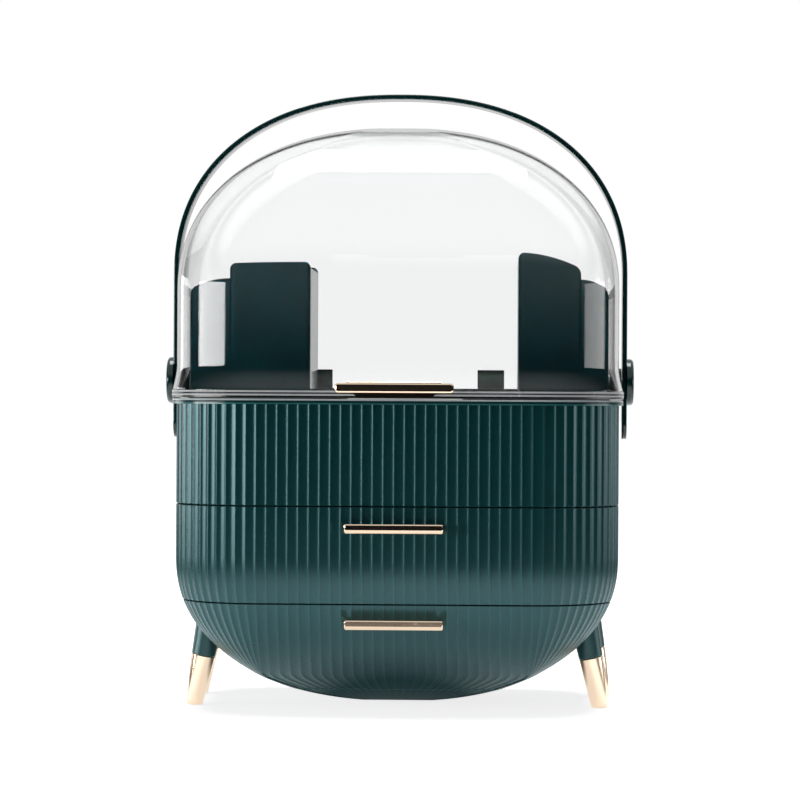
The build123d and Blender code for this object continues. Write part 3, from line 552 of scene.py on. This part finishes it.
def bin_box(name, inner_edge, tall_width, tall, fall, side):
    """Open bin: walls on a rounded plan. Their top falls with the square of the distance from the inner
    edge, steps down to the low outer part and falls again. A wall stands under the step."""
    step = inner_edge + tall_width

    def rounding(distance):
        short = np.clip(BIN_EASE - distance, 0, BIN_EASE)
        return BIN_EASE - np.sqrt(BIN_EASE ** 2 - short ** 2)

    def height(x):
        high = tall - fall * ((x - inner_edge) / tall_width) ** 2
        high = high - rounding(x - inner_edge) - rounding(step - x)
        low = BIN_LOW_TOP - BIN_LOW_FALL * ((x - step) / (BIN_OUTER - step)) ** 2 - rounding(BIN_OUTER - x)
        return np.where(x <= step, high, low)

    ease, slit = (1 - np.cos(np.linspace(0, math.pi, 26))) / 2, 0.02
    run = np.concatenate([inner_edge + BIN_CORNER + (tall_width - BIN_CORNER - slit) * ease,
                          step + slit + (BIN_OUTER - BIN_CORNER - step - slit) * ease])
    turn = np.linspace(0, math.pi / 2, 7)[1:-1]

    def plan(shrink):
        r = max(BIN_CORNER - shrink, 0.6)
        x0, x1, y0, y1 = inner_edge + shrink, BIN_OUTER - shrink, BIN_FRONT + shrink, BIN_BACK - shrink
        xs = np.clip(run, x0 + r, x1 - r)
        front = np.column_stack([xs, np.full(len(xs), y0)])
        back = np.column_stack([xs[::-1], np.full(len(xs), y1)])
        right = np.column_stack([np.full(6, x1), np.linspace(y0 + r, y1 - r, 6)])
        left = np.column_stack([np.full(6, x0), np.linspace(y1 - r, y0 + r, 6)])

        def corner(cx, cy, start):
            return np.column_stack([cx + r * np.cos(start + turn), cy + r * np.sin(start + turn)])

        return np.concatenate([front, corner(x1 - r, y0 + r, -math.pi / 2),
                               right, corner(x1 - r, y1 - r, 0),
                               back, corner(x0 + r, y1 - r, math.pi / 2),
                               left, corner(x0 + r, y0 + r, math.pi)])

    top = height(plan(0.0)[:, 0])

    def wall(shrink, z):
        points = plan(shrink)
        return np.column_stack([points, np.broadcast_to(z, len(points))])

    edges = [(0.0, 0.5), (0.15, 0.15), (0.5, 0.0)]
    edges += [(BIN_WALL - shrink, drop) for shrink, drop in edges[::-1]]
    rows = [wall(0.8, TUB_FLOOR), wall(0.0, TUB_FLOOR + 0.8)]
    rows += [wall(shrink, top - drop) for shrink, drop in edges]
    rows += [wall(BIN_WALL, TUB_FLOOR + BIN_WALL + 0.6), wall(BIN_WALL + 0.6, TUB_FLOOR + BIN_WALL)]
    inner_top, into_wall = min(BIN_LOW_TOP, tall - fall - BIN_EASE) - 0.2, 1.5
    left, right = step - BIN_WALL / 2, step + BIN_WALL / 2
    divider = [rounded_loop(left, right, TUB_FLOOR + into_wall, inner_top, 0.3, y)
               for y in (BIN_FRONT + into_wall, BIN_BACK - into_wall)]
    points, faces = joined(*loft(rows), *loft(divider))
    return piece(f"glossy_{name}", points * [side, 1, 1], faces, bin_green, "base", [name], sharp=40)


# Materials

def node_group(name, inputs, outputs):
    """Empty node group with named number inputs and colour or number outputs."""
    group = bpy.data.node_groups.new(name, "ShaderNodeTree")
    for title, value in inputs:
        socket = group.interface.new_socket(title, in_out="INPUT", socket_type="NodeSocketFloat")
        socket.default_value = value
    for title, kind in outputs:
        group.interface.new_socket(title, in_out="OUTPUT", socket_type=kind)
    return group, group.nodes.new("NodeGroupInput"), group.nodes.new("NodeGroupOutput")


def make_surface_wear():
    """Fine grain, broad cloudiness and sparse hair scratches, as three masks from 0 to 1."""
    group, given, out = node_group("surface_wear", [("Grain Scale", 900.0), ("Cloud Scale", 14.0)],
                                   [("Grain", "NodeSocketFloat"), ("Cloud", "NodeSocketFloat"),
                                    ("Scratch", "NodeSocketFloat")])
    link, new = group.links.new, group.nodes.new
    place = new("ShaderNodeTexCoord")
    grain, cloud, streak = (new("ShaderNodeTexNoise") for _ in range(3))
    link(place.outputs["Object"], grain.inputs["Vector"])
    link(given.outputs["Grain Scale"], grain.inputs["Scale"])
    grain.inputs["Detail"].default_value = 3
    link(place.outputs["Object"], cloud.inputs["Vector"])
    link(given.outputs["Cloud Scale"], cloud.inputs["Scale"])
    cloud.inputs["Detail"].default_value = 4
    turn = new("ShaderNodeMapping")
    turn.inputs["Rotation"].default_value = (0.4, 0.9, 0.6)
    turn.inputs["Scale"].default_value = (60, 900, 60)
    link(place.outputs["Object"], turn.inputs["Vector"])
    link(turn.outputs["Vector"], streak.inputs["Vector"])
    streak.inputs["Scale"].default_value = 1.0
    thin = new("ShaderNodeMapRange")
    thin.inputs["From Min"].default_value = 0.68
    thin.inputs["From Max"].default_value = 0.76
    link(streak.outputs["Fac"], thin.inputs["Value"])
    link(grain.outputs["Fac"], out.inputs["Grain"])
    link(cloud.outputs["Fac"], out.inputs["Cloud"])
    link(thin.outputs["Result"], out.inputs["Scratch"])
    return group


def make_ridge_highlight_mask():
    """Mask for the painted highlight along the flute ridges, from the phase attribute: 1 on the ridges
    between flutes and 0 in the flutes, with soft sides.
    """
    group, given, out = node_group("ridge_highlight_mask", [("Start", 0.72), ("End", 0.97)],
                                   [("Ridge", "NodeSocketFloat")])
    link, new = group.links.new, group.nodes.new
    phase = new("ShaderNodeAttribute")
    phase.attribute_name = "phase"
    size = new("ShaderNodeMath")
    size.operation = "ABSOLUTE"
    band = new("ShaderNodeMapRange")
    band.interpolation_type = "SMOOTHSTEP"
    link(phase.outputs["Fac"], size.inputs[0])
    link(size.outputs[0], band.inputs["Value"])
    link(given.outputs["Start"], band.inputs["From Min"])
    link(given.outputs["End"], band.inputs["From Max"])
    link(band.outputs["Result"], out.inputs["Ridge"])
    return group


surface_wear = make_surface_wear()
ridge_highlight_mask = make_ridge_highlight_mask()


def start_material(name, color, roughness, metallic=0.0, grain=900.0, bump=0.02, spread=0.06, tint=0.12,
                   scuff=0.08, settings=()):
    """Principled material whose colour and roughness follow the wear masks, with a very shallow bump."""
    made = bpy.data.materials.new(name)
    made.use_nodes = True
    nodes, link = made.node_tree.nodes, made.node_tree.links.new
    shader = nodes["Principled BSDF"]
    shader.inputs["Metallic"].default_value = metallic
    wear = nodes.new("ShaderNodeGroup")
    wear.node_tree = surface_wear
    wear.inputs["Grain Scale"].default_value = grain
    tone = nodes.new("ShaderNodeMix")
    tone.data_type = "RGBA"
    low = tuple(c * (1 - tint) for c in color)
    high = tuple(min(1, c * (1 + tint)) for c in color)
    tone.inputs["A"].default_value = (*low, 1)
    tone.inputs["B"].default_value = (*high, 1)
    link(wear.outputs["Cloud"], tone.inputs["Factor"])
    link(tone.outputs["Result"], shader.inputs["Base Color"])
    rough = nodes.new("ShaderNodeMapRange")
    rough.inputs["To Min"].default_value = max(roughness - spread, 0.0)
    rough.inputs["To Max"].default_value = roughness + spread
    link(wear.outputs["Cloud"], rough.inputs["Value"])
    scuffed = nodes.new("ShaderNodeMath")
    scuffed.operation = "MULTIPLY_ADD"
    scuffed.inputs[1].default_value = scuff
    link(wear.outputs["Scratch"], scuffed.inputs[0])
    link(rough.outputs["Result"], scuffed.inputs[2])
    link(scuffed.outputs[0], shader.inputs["Roughness"])
    if bump:
        relief = nodes.new("ShaderNodeBump")
        relief.inputs["Strength"].default_value = bump
        relief.inputs["Distance"].default_value = 0.0004
        link(wear.outputs["Grain"], relief.inputs["Height"])
        link(relief.outputs["Normal"], shader.inputs["Normal"])
    for socket, value in settings:
        shader.inputs[socket].default_value = value
    return made, nodes, link, shader, tone


def make_green_body():
    """Deep teal satin plastic with a painted highlight along the ridges of the flutes."""
    made, nodes, link, shader, tone = start_material(
        "green_body", (0.001, 0.04, 0.043), 0.25, spread=0.03, bump=0.008, scuff=0.02,
        settings=(("IOR", 1.65), ("Specular Tint", (0.55, 0.93, 1.0, 1.0))))
    ridges = nodes.new("ShaderNodeGroup")
    ridges.node_tree = ridge_highlight_mask
    ridges.inputs["Start"].default_value = 0.86
    # Paler teal on the ridge crests: a painted highlight, not the plastic's own colour.
    painted_highlight = nodes.new("ShaderNodeMix")
    painted_highlight.data_type = "RGBA"
    painted_highlight.inputs["B"].default_value = (0.012, 0.1, 0.105, 1)
    link(tone.outputs["Result"], painted_highlight.inputs["A"])
    link(ridges.outputs["Ridge"], painted_highlight.inputs["Factor"])
    link(painted_highlight.outputs["Result"], shader.inputs["Base Color"])
    return made


def banded(name, low, high, bands, roughness, settings=()):
    """Material whose colour changes with height, in millimetres, for mouldings with painted highlights on
    their edges and painted shade in a groove. The wear tones multiply it."""
    made, nodes, link, shader, tone = start_material(
        name, (0.93, 0.93, 0.93), roughness, spread=0.03, tint=0.06, bump=0.0, settings=settings)
    place = nodes.new("ShaderNodeTexCoord")
    split = nodes.new("ShaderNodeSeparateXYZ")
    share = nodes.new("ShaderNodeMapRange")
    share.inputs["From Min"].default_value = low * 0.001
    share.inputs["From Max"].default_value = high * 0.001
    ramp = nodes.new("ShaderNodeValToRGB")
    stops = ramp.color_ramp.elements
    for number, (z, color) in enumerate(bands):
        stop = stops[number] if number < 2 else stops.new(1.0)
        stop.position, stop.color = (z - low) / (high - low), (*color, 1)
    both = nodes.new("ShaderNodeMix")
    both.data_type, both.blend_type = "RGBA", "MULTIPLY"
    both.inputs["Factor"].default_value = 1.0
    link(place.outputs["Object"], split.inputs[0])
    link(split.outputs["Z"], share.inputs["Value"])
    link(share.outputs["Result"], ramp.inputs["Fac"])
    link(ramp.outputs["Color"], both.inputs["A"])
    link(tone.outputs["Result"], both.inputs["B"])
    link(both.outputs["Result"], shader.inputs["Base Color"])
    return made


DEEP, LIP_HIGHLIGHT, EDGE_HIGHLIGHT = (0.002, 0.035, 0.037), (0.04, 0.2, 0.2), (0.85, 0.93, 0.95)
GROOVE_SHADE, FLANGE_HIGHLIGHT = (0.06, 0.07, 0.085), (0.93, 0.97, 0.98)
# Rim band: its own deep teal, with painted highlights in the paler bands along its lower edge and on its
# rounded upper edge.
rim_green = banded("rim_green", TUB_TOP, RIM_TOP, [
    (TUB_TOP, LIP_HIGHLIGHT), (204.0, LIP_HIGHLIGHT), (204.3, DEEP), (205.6, DEEP), (205.9, EDGE_HIGHLIGHT), (206.8, EDGE_HIGHLIGHT),
    (206.95, DEEP)], 0.2)
# Frosted ring: the near-white bands at its top and bottom are painted highlights for light through the clear
# flange, and the grey band between them is painted shade in the groove.
flange_painted_bands = banded("flange_painted_bands", FROSTED_LOW, FLANGE_TOP, [
    (FROSTED_LOW, FLANGE_HIGHLIGHT), (209.9, FLANGE_HIGHLIGHT), (210.2, GROOVE_SHADE), (211.0, GROOVE_SHADE), (211.3, FLANGE_HIGHLIGHT),
    (FLANGE_TOP, FLANGE_HIGHLIGHT)], 0.25, (("Transmission Weight", 0.3), ("IOR", 1.45)))
green_body = make_green_body()
green_satin = start_material("green_satin", (0.002, 0.06, 0.064), 0.3, spread=0.03, bump=0.01,
                             settings=(("IOR", 1.6), ("Specular Tint", (0.7, 0.97, 1.0, 1.0))))[0]
green_gloss = start_material("green_gloss", (0.002, 0.03, 0.031), 0.16, spread=0.03, bump=0.01)[0]
handle_green = start_material("handle_green", (0.002, 0.03, 0.031), 0.06, spread=0.02, bump=0.0)[0]
bin_green = start_material("bin_green", (0.001, 0.07, 0.085), 0.12, spread=0.02, bump=0.008)[0]
inner_green = start_material("inner_green", (0.01, 0.05, 0.053), 0.45, bump=0.12, grain=1600)[0]
gold = start_material("pale_gold", (0.86, 0.68, 0.51), 0.1, metallic=1.0, spread=0.04, tint=0.05,
                      bump=0.01, grain=2500)[0]
steel = start_material("plain_steel", (0.55, 0.55, 0.56), 0.32, metallic=1.0, grain=2500)[0]
seal_rubber = start_material("dark_seal", (0.006, 0.008, 0.009), 0.22, spread=0.05, bump=0.02)[0]
bronze = start_material("dark_bronze", (0.05, 0.038, 0.026), 0.3, metallic=1.0, bump=0.02)[0]
clear_plastic = start_material("clear_plastic", (0.985, 0.99, 0.99), 0.015, spread=0.012, tint=0.004,
                               bump=0.0, settings=(("Transmission Weight", 1.0), ("IOR", 1.4)))[0]


# Pieces

tub()
rear_casing()
drawer_front("fluted_upper_drawer_front", SEAMS[0] + SEAM, SEAMS[1] - SEAM, UPPER_TRAY_HALF - TRAY_WALL,
             "upper_drawer", True)
drawer_front("fluted_lower_drawer_front", belly_height((SPLIT + SEAM) / HALF_DEPTH) + 0.01,
             SEAMS[0] - SEAM, LOWER_TRAY_HALF - TRAY_WALL, "lower_drawer", False)
bar("upper_drawer_bar", UPPER_BAR, HALF_DEPTH, "upper_drawer")
bar("lower_drawer_bar", LOWER_BAR, HALF_DEPTH * belly(LOWER_BAR), "lower_drawer")

# The rim band has rounded upper edges. The frosted ring has a shallow groove all round and hangs over
# the seal by a hair.
hoop("rim_hoop", [(RIM_OVERHANG, TUB_TOP), (RIM_OVERHANG, RIM_TOP - 0.9), (RIM_OVERHANG - 0.2, RIM_TOP - 0.3),
                  (RIM_OVERHANG - 0.8, RIM_TOP), (-INSET, RIM_TOP), (-INSET, TUB_TOP)],
     rim_green, "base", ["rim_band"])
hair = 0.02
groove = FLANGE_OVERHANG - 0.14
ring_in, over_seal = FLANGE_OVERHANG - FROSTED_WIDTH + hair, SEAL_OVERHANG + hair
hoop("frosted_flange", [(ring_in, FLANGE_TOP), (FLANGE_OVERHANG - 0.15, FLANGE_TOP),
                        (FLANGE_OVERHANG, FLANGE_TOP - 0.2), (FLANGE_OVERHANG, 211.5), (groove, 211.3),
                        (groove, 210.1), (FLANGE_OVERHANG, 209.9), (FLANGE_OVERHANG, FROSTED_LOW + 0.2),
                        (FLANGE_OVERHANG - 0.1, FROSTED_LOW), (over_seal, FROSTED_LOW),
                        (over_seal, FLANGE_LOW + 0.05), (ring_in, FLANGE_LOW + 0.05)],
     flange_painted_bands, "lid", [])
hoop("seal_hoop", [(SEAL_OVERHANG, SEAL_LOW + 0.5), (SEAL_OVERHANG, FLANGE_LOW), (-SEAL_INSET, FLANGE_LOW),
                   (-SEAL_INSET, SEAL_LOW), (SEAL_OVERHANG - 0.5, SEAL_LOW)],
     seal_rubber, "lid", ["lid_seal"])
dome()
tab()
strap()
for name, side in (("right_handle_cap", 1), ("left_handle_cap", -1)):
    cap(name, side)
for name, side in (("right_pivot_boss", 1), ("left_pivot_boss", -1)):
    boss(name, side)
bin_box("right_bin", inner_edge=80.6, tall_width=42.8, tall=306.7, fall=10.6, side=1)
bin_box("left_bin", inner_edge=60.0, tall_width=55.0, tall=299.8, fall=1.0, side=-1)
for place, foot in FEET.items():
    leg_tip(place, foot)
    leg_sleeve(place, foot)

finishes = {
    "drawer_shelf": inner_green, "upper_rails": inner_green, "lower_rails": inner_green,
    "upper_drawer_tray": inner_green, "lower_drawer_tray": inner_green,
    "casing_screws": steel, "leg_screws": steel, "hinge_pins": steel, "hinge_screws": steel,
    "pivot_pins": steel, "upper_bar_screws": steel, "lower_bar_screws": steel,
    "hinge_brackets": gold, "hinge_leaves": gold, "lid_latch": bronze,
}
for name, finish in finishes.items():
    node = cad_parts[name]
    node.data.materials.clear()
    node.data.materials.append(finish)


# Floor, light and camera, in metres

FLOOR_HALF = 30.0

# How bright the floor glows in reflections, by distance from the middle of the object; the dim spot right
# under the object is a painted shadow
FLOOR_GLOW = (0.055, 0.1), (0.1, 0.95), (0.45, 0.95), (0.75, 0.3), (1.0, 0.0)

LAMP_HEIGHT, LAMP_TALL = 0.32, 0.6
LENS, SENSOR = 144.0, 36.0
CAMERA_DISTANCE, CAMERA_HEIGHT = 2.2, 0.2064
CAMERA_SIDE, CAMERA_ROLL = math.radians(1.8), math.radians(0.3)


def direct_view(nodes, link):
    """Masks for a ray that the camera sends straight or through clear pieces, and for one that a glossy
    surface has sent on, again straight or through clear pieces."""
    path = nodes.new("ShaderNodeLightPath")
    turned_away = nodes.new("ShaderNodeMath")
    turned_away.operation = "ADD"
    link(path.outputs["Glossy Depth"], turned_away.inputs[0])
    link(path.outputs["Diffuse Depth"], turned_away.inputs[1])
    seen = nodes.new("ShaderNodeMath")
    seen.operation = "LESS_THAN"
    seen.inputs[1].default_value = 0.5
    link(turned_away.outputs[0], seen.inputs[0])
    bounced = nodes.new("ShaderNodeMath")
    bounced.operation = "LESS_THAN"
    bounced.inputs[1].default_value = 0.5
    link(path.outputs["Diffuse Depth"], bounced.inputs[0])
    return seen.outputs[0], bounced.outputs[0]


def make_floor():
    """Large plain sheet. The camera sees it white with a soft shadow. In reflections it glows: dim under the
    middle of the object as a painted shadow, bright around it, dark further away and bright again far behind
    it."""
    mesh = bpy.data.meshes.new("floor")
    corners = np.array([[-1, -1, 0], [1, -1, 0], [1, 1, 0], [-1, 1, 0]], float) * FLOOR_HALF
    mesh.from_pydata(corners, [], [[0, 1, 2, 3]])
    made = bpy.data.objects.new("floor", mesh)
    bpy.context.scene.collection.objects.link(made)
    material = bpy.data.materials.new("floor_white")
    material.use_nodes = True
    nodes, link = material.node_tree.nodes, material.node_tree.links.new
    nodes.remove(nodes["Principled BSDF"])
    out = nodes["Material Output"]
    diffuse = nodes.new("ShaderNodeBsdfDiffuse")
    diffuse.inputs["Color"].default_value = (0.8, 0.8, 0.8, 1)
    light = nodes.new("ShaderNodeEmission")
    both = nodes.new("ShaderNodeAddShader")
    link(diffuse.outputs[0], both.inputs[0])
    link(light.outputs[0], both.inputs[1])
    place = nodes.new("ShaderNodeTexCoord")
    away = nodes.new("ShaderNodeVectorMath")
    away.operation = "LENGTH"
    link(place.outputs["Object"], away.inputs[0])
    white = nodes.new("ShaderNodeMapRange")
    white.inputs["From Min"].default_value = 0.3
    white.inputs["From Max"].default_value = 1.3
    white.inputs["To Min"].default_value = 0.8
    link(away.outputs["Value"], white.inputs["Value"])
    link(white.outputs["Result"], light.inputs["Strength"])
    fade = nodes.new("ShaderNodeValToRGB")
    ramp = fade.color_ramp.elements
    for number, (radius, bright) in enumerate(FLOOR_GLOW):
        stop = ramp[number] if number < 2 else ramp.new(1.0)
        stop.position, stop.color = radius, (bright, bright, bright, 1)
    link(away.outputs["Value"], fade.inputs["Fac"])
    split = nodes.new("ShaderNodeSeparateXYZ")
    link(place.outputs["Object"], split.inputs[0])
    behind = nodes.new("ShaderNodeMapRange")
    behind.inputs["From Min"].default_value = 0.6
    behind.inputs["From Max"].default_value = 2.0
    behind.inputs["To Max"].default_value = 0.9
    link(split.outputs["Y"], behind.inputs["Value"])
    level = nodes.new("ShaderNodeMath")
    level.operation = "MAXIMUM"
    link(fade.outputs["Color"], level.inputs[0])
    link(behind.outputs["Result"], level.inputs[1])
    glow = nodes.new("ShaderNodeEmission")
    link(level.outputs[0], glow.inputs["Strength"])
    table = nodes.new("ShaderNodeBsdfDiffuse")
    link(level.outputs[0], table.inputs["Color"])
    mirrored = nodes.new("ShaderNodeAddShader")
    link(table.outputs[0], mirrored.inputs[0])
    link(glow.outputs[0], mirrored.inputs[1])
    seen, bounced = direct_view(nodes, link)
    first = nodes.new("ShaderNodeMixShader")
    link(bounced, first.inputs["Fac"])
    link(diffuse.outputs[0], first.inputs[1])
    link(mirrored.outputs[0], first.inputs[2])
    last = nodes.new("ShaderNodeMixShader")
    link(seen, last.inputs["Fac"])
    link(first.outputs[0], last.inputs[1])
    link(both.outputs[0], last.inputs[2])
    link(last.outputs[0], out.inputs["Surface"])
    mesh.materials.append(material)


def make_world():
    """White to the camera and through clear pieces. For reflections the studio is dark on the camera's
    side and bright behind and above; for soft light it is an even dim grey."""
    world = bpy.data.worlds.new("studio")
    bpy.context.scene.world = world
    world.use_nodes = True
    nodes, link = world.node_tree.nodes, world.node_tree.links.new
    out = nodes["World Output"]
    soft = nodes["Background"]
    soft.inputs["Color"].default_value = (1, 1, 1, 1)
    soft.inputs["Strength"].default_value = 0.05
    white = nodes.new("ShaderNodeBackground")
    white.inputs["Color"].default_value = (1, 1, 1, 1)
    mirror = nodes.new("ShaderNodeBackground")
    place = nodes.new("ShaderNodeTexCoord")
    split = nodes.new("ShaderNodeSeparateXYZ")
    link(place.outputs["Generated"], split.inputs[0])
    back = nodes.new("ShaderNodeMapRange")
    back.interpolation_type = "SMOOTHSTEP"
    back.inputs["From Min"].default_value = 0.6
    back.inputs["From Max"].default_value = 0.95
    back.inputs["To Min"].default_value = 0.02
    back.inputs["To Max"].default_value = 0.9
    link(split.outputs["Y"], back.inputs["Value"])
    top = nodes.new("ShaderNodeMapRange")
    top.interpolation_type = "SMOOTHSTEP"
    top.inputs["From Min"].default_value = 0.22
    top.inputs["From Max"].default_value = 0.5
    top.inputs["To Max"].default_value = 1.0
    link(split.outputs["Z"], top.inputs["Value"])
    level = nodes.new("ShaderNodeMath")
    level.operation = "MAXIMUM"
    link(back.outputs["Result"], level.inputs[0])
    link(top.outputs["Result"], level.inputs[1])
    link(level.outputs[0], mirror.inputs["Strength"])
    seen, bounced = direct_view(nodes, link)
    first = nodes.new("ShaderNodeMixShader")
    link(bounced, first.inputs["Fac"])
    link(soft.outputs[0], first.inputs[1])
    link(mirror.outputs[0], first.inputs[2])
    last = nodes.new("ShaderNodeMixShader")
    link(seen, last.inputs["Fac"])
    link(first.outputs[0], last.inputs[1])
    link(white.outputs[0], last.inputs[2])
    link(last.outputs[0], out.inputs["Surface"])


def softbox(name, place, aim, size, power):
    """Rectangular lamp that faces the point aim."""
    data = bpy.data.lights.new(name, "AREA")
    data.shape = "RECTANGLE"
    data.size, data.size_y = size
    data.energy = power
    lamp = bpy.data.objects.new(name, data)
    bpy.context.scene.collection.objects.link(lamp)
    lamp.location = place
    lamp.rotation_euler = (Vector(aim) - Vector(place)).to_track_quat("-Z", "Y").to_euler()


make_floor()
make_world()
softbox("left_box", (-3.8, -1.24, LAMP_HEIGHT), (0, 0, LAMP_HEIGHT), (3.0, LAMP_TALL), 60)
softbox("left_rear_box", (-3.1, 2.5, LAMP_HEIGHT), (0, 0, LAMP_HEIGHT), (1.6, LAMP_TALL), 7)
softbox("right_box", (3.98, 0.2, LAMP_HEIGHT), (0, 0, LAMP_HEIGHT), (2.6, LAMP_TALL), 14)
softbox("top_box", (0.0, 0.3, 2.2), (0, 0, 0.1), (1.4, 0.9), 38)


def make_camera():
    """Long lens at the height of the rim, a little to the right of the middle, aimed at the middle and
    rolled by a fraction of a degree."""
    data = bpy.data.cameras.new("camera")
    data.lens, data.sensor_width = LENS, SENSOR
    data.clip_start, data.clip_end = 0.05, 100
    camera = bpy.data.objects.new("camera", data)
    bpy.context.scene.collection.objects.link(camera)
    turn = Euler((math.radians(90), 0, CAMERA_SIDE)).to_matrix()
    roll = Matrix.Rotation(CAMERA_ROLL, 3, "Z")
    camera.rotation_euler = (turn @ roll).to_euler()
    camera.location = (CAMERA_DISTANCE * math.sin(CAMERA_SIDE), -CAMERA_DISTANCE * math.cos(CAMERA_SIDE),
                       CAMERA_HEIGHT)
    bpy.context.scene.camera = camera


make_camera()
bpy.context.scene.view_settings.view_transform = "Standard"
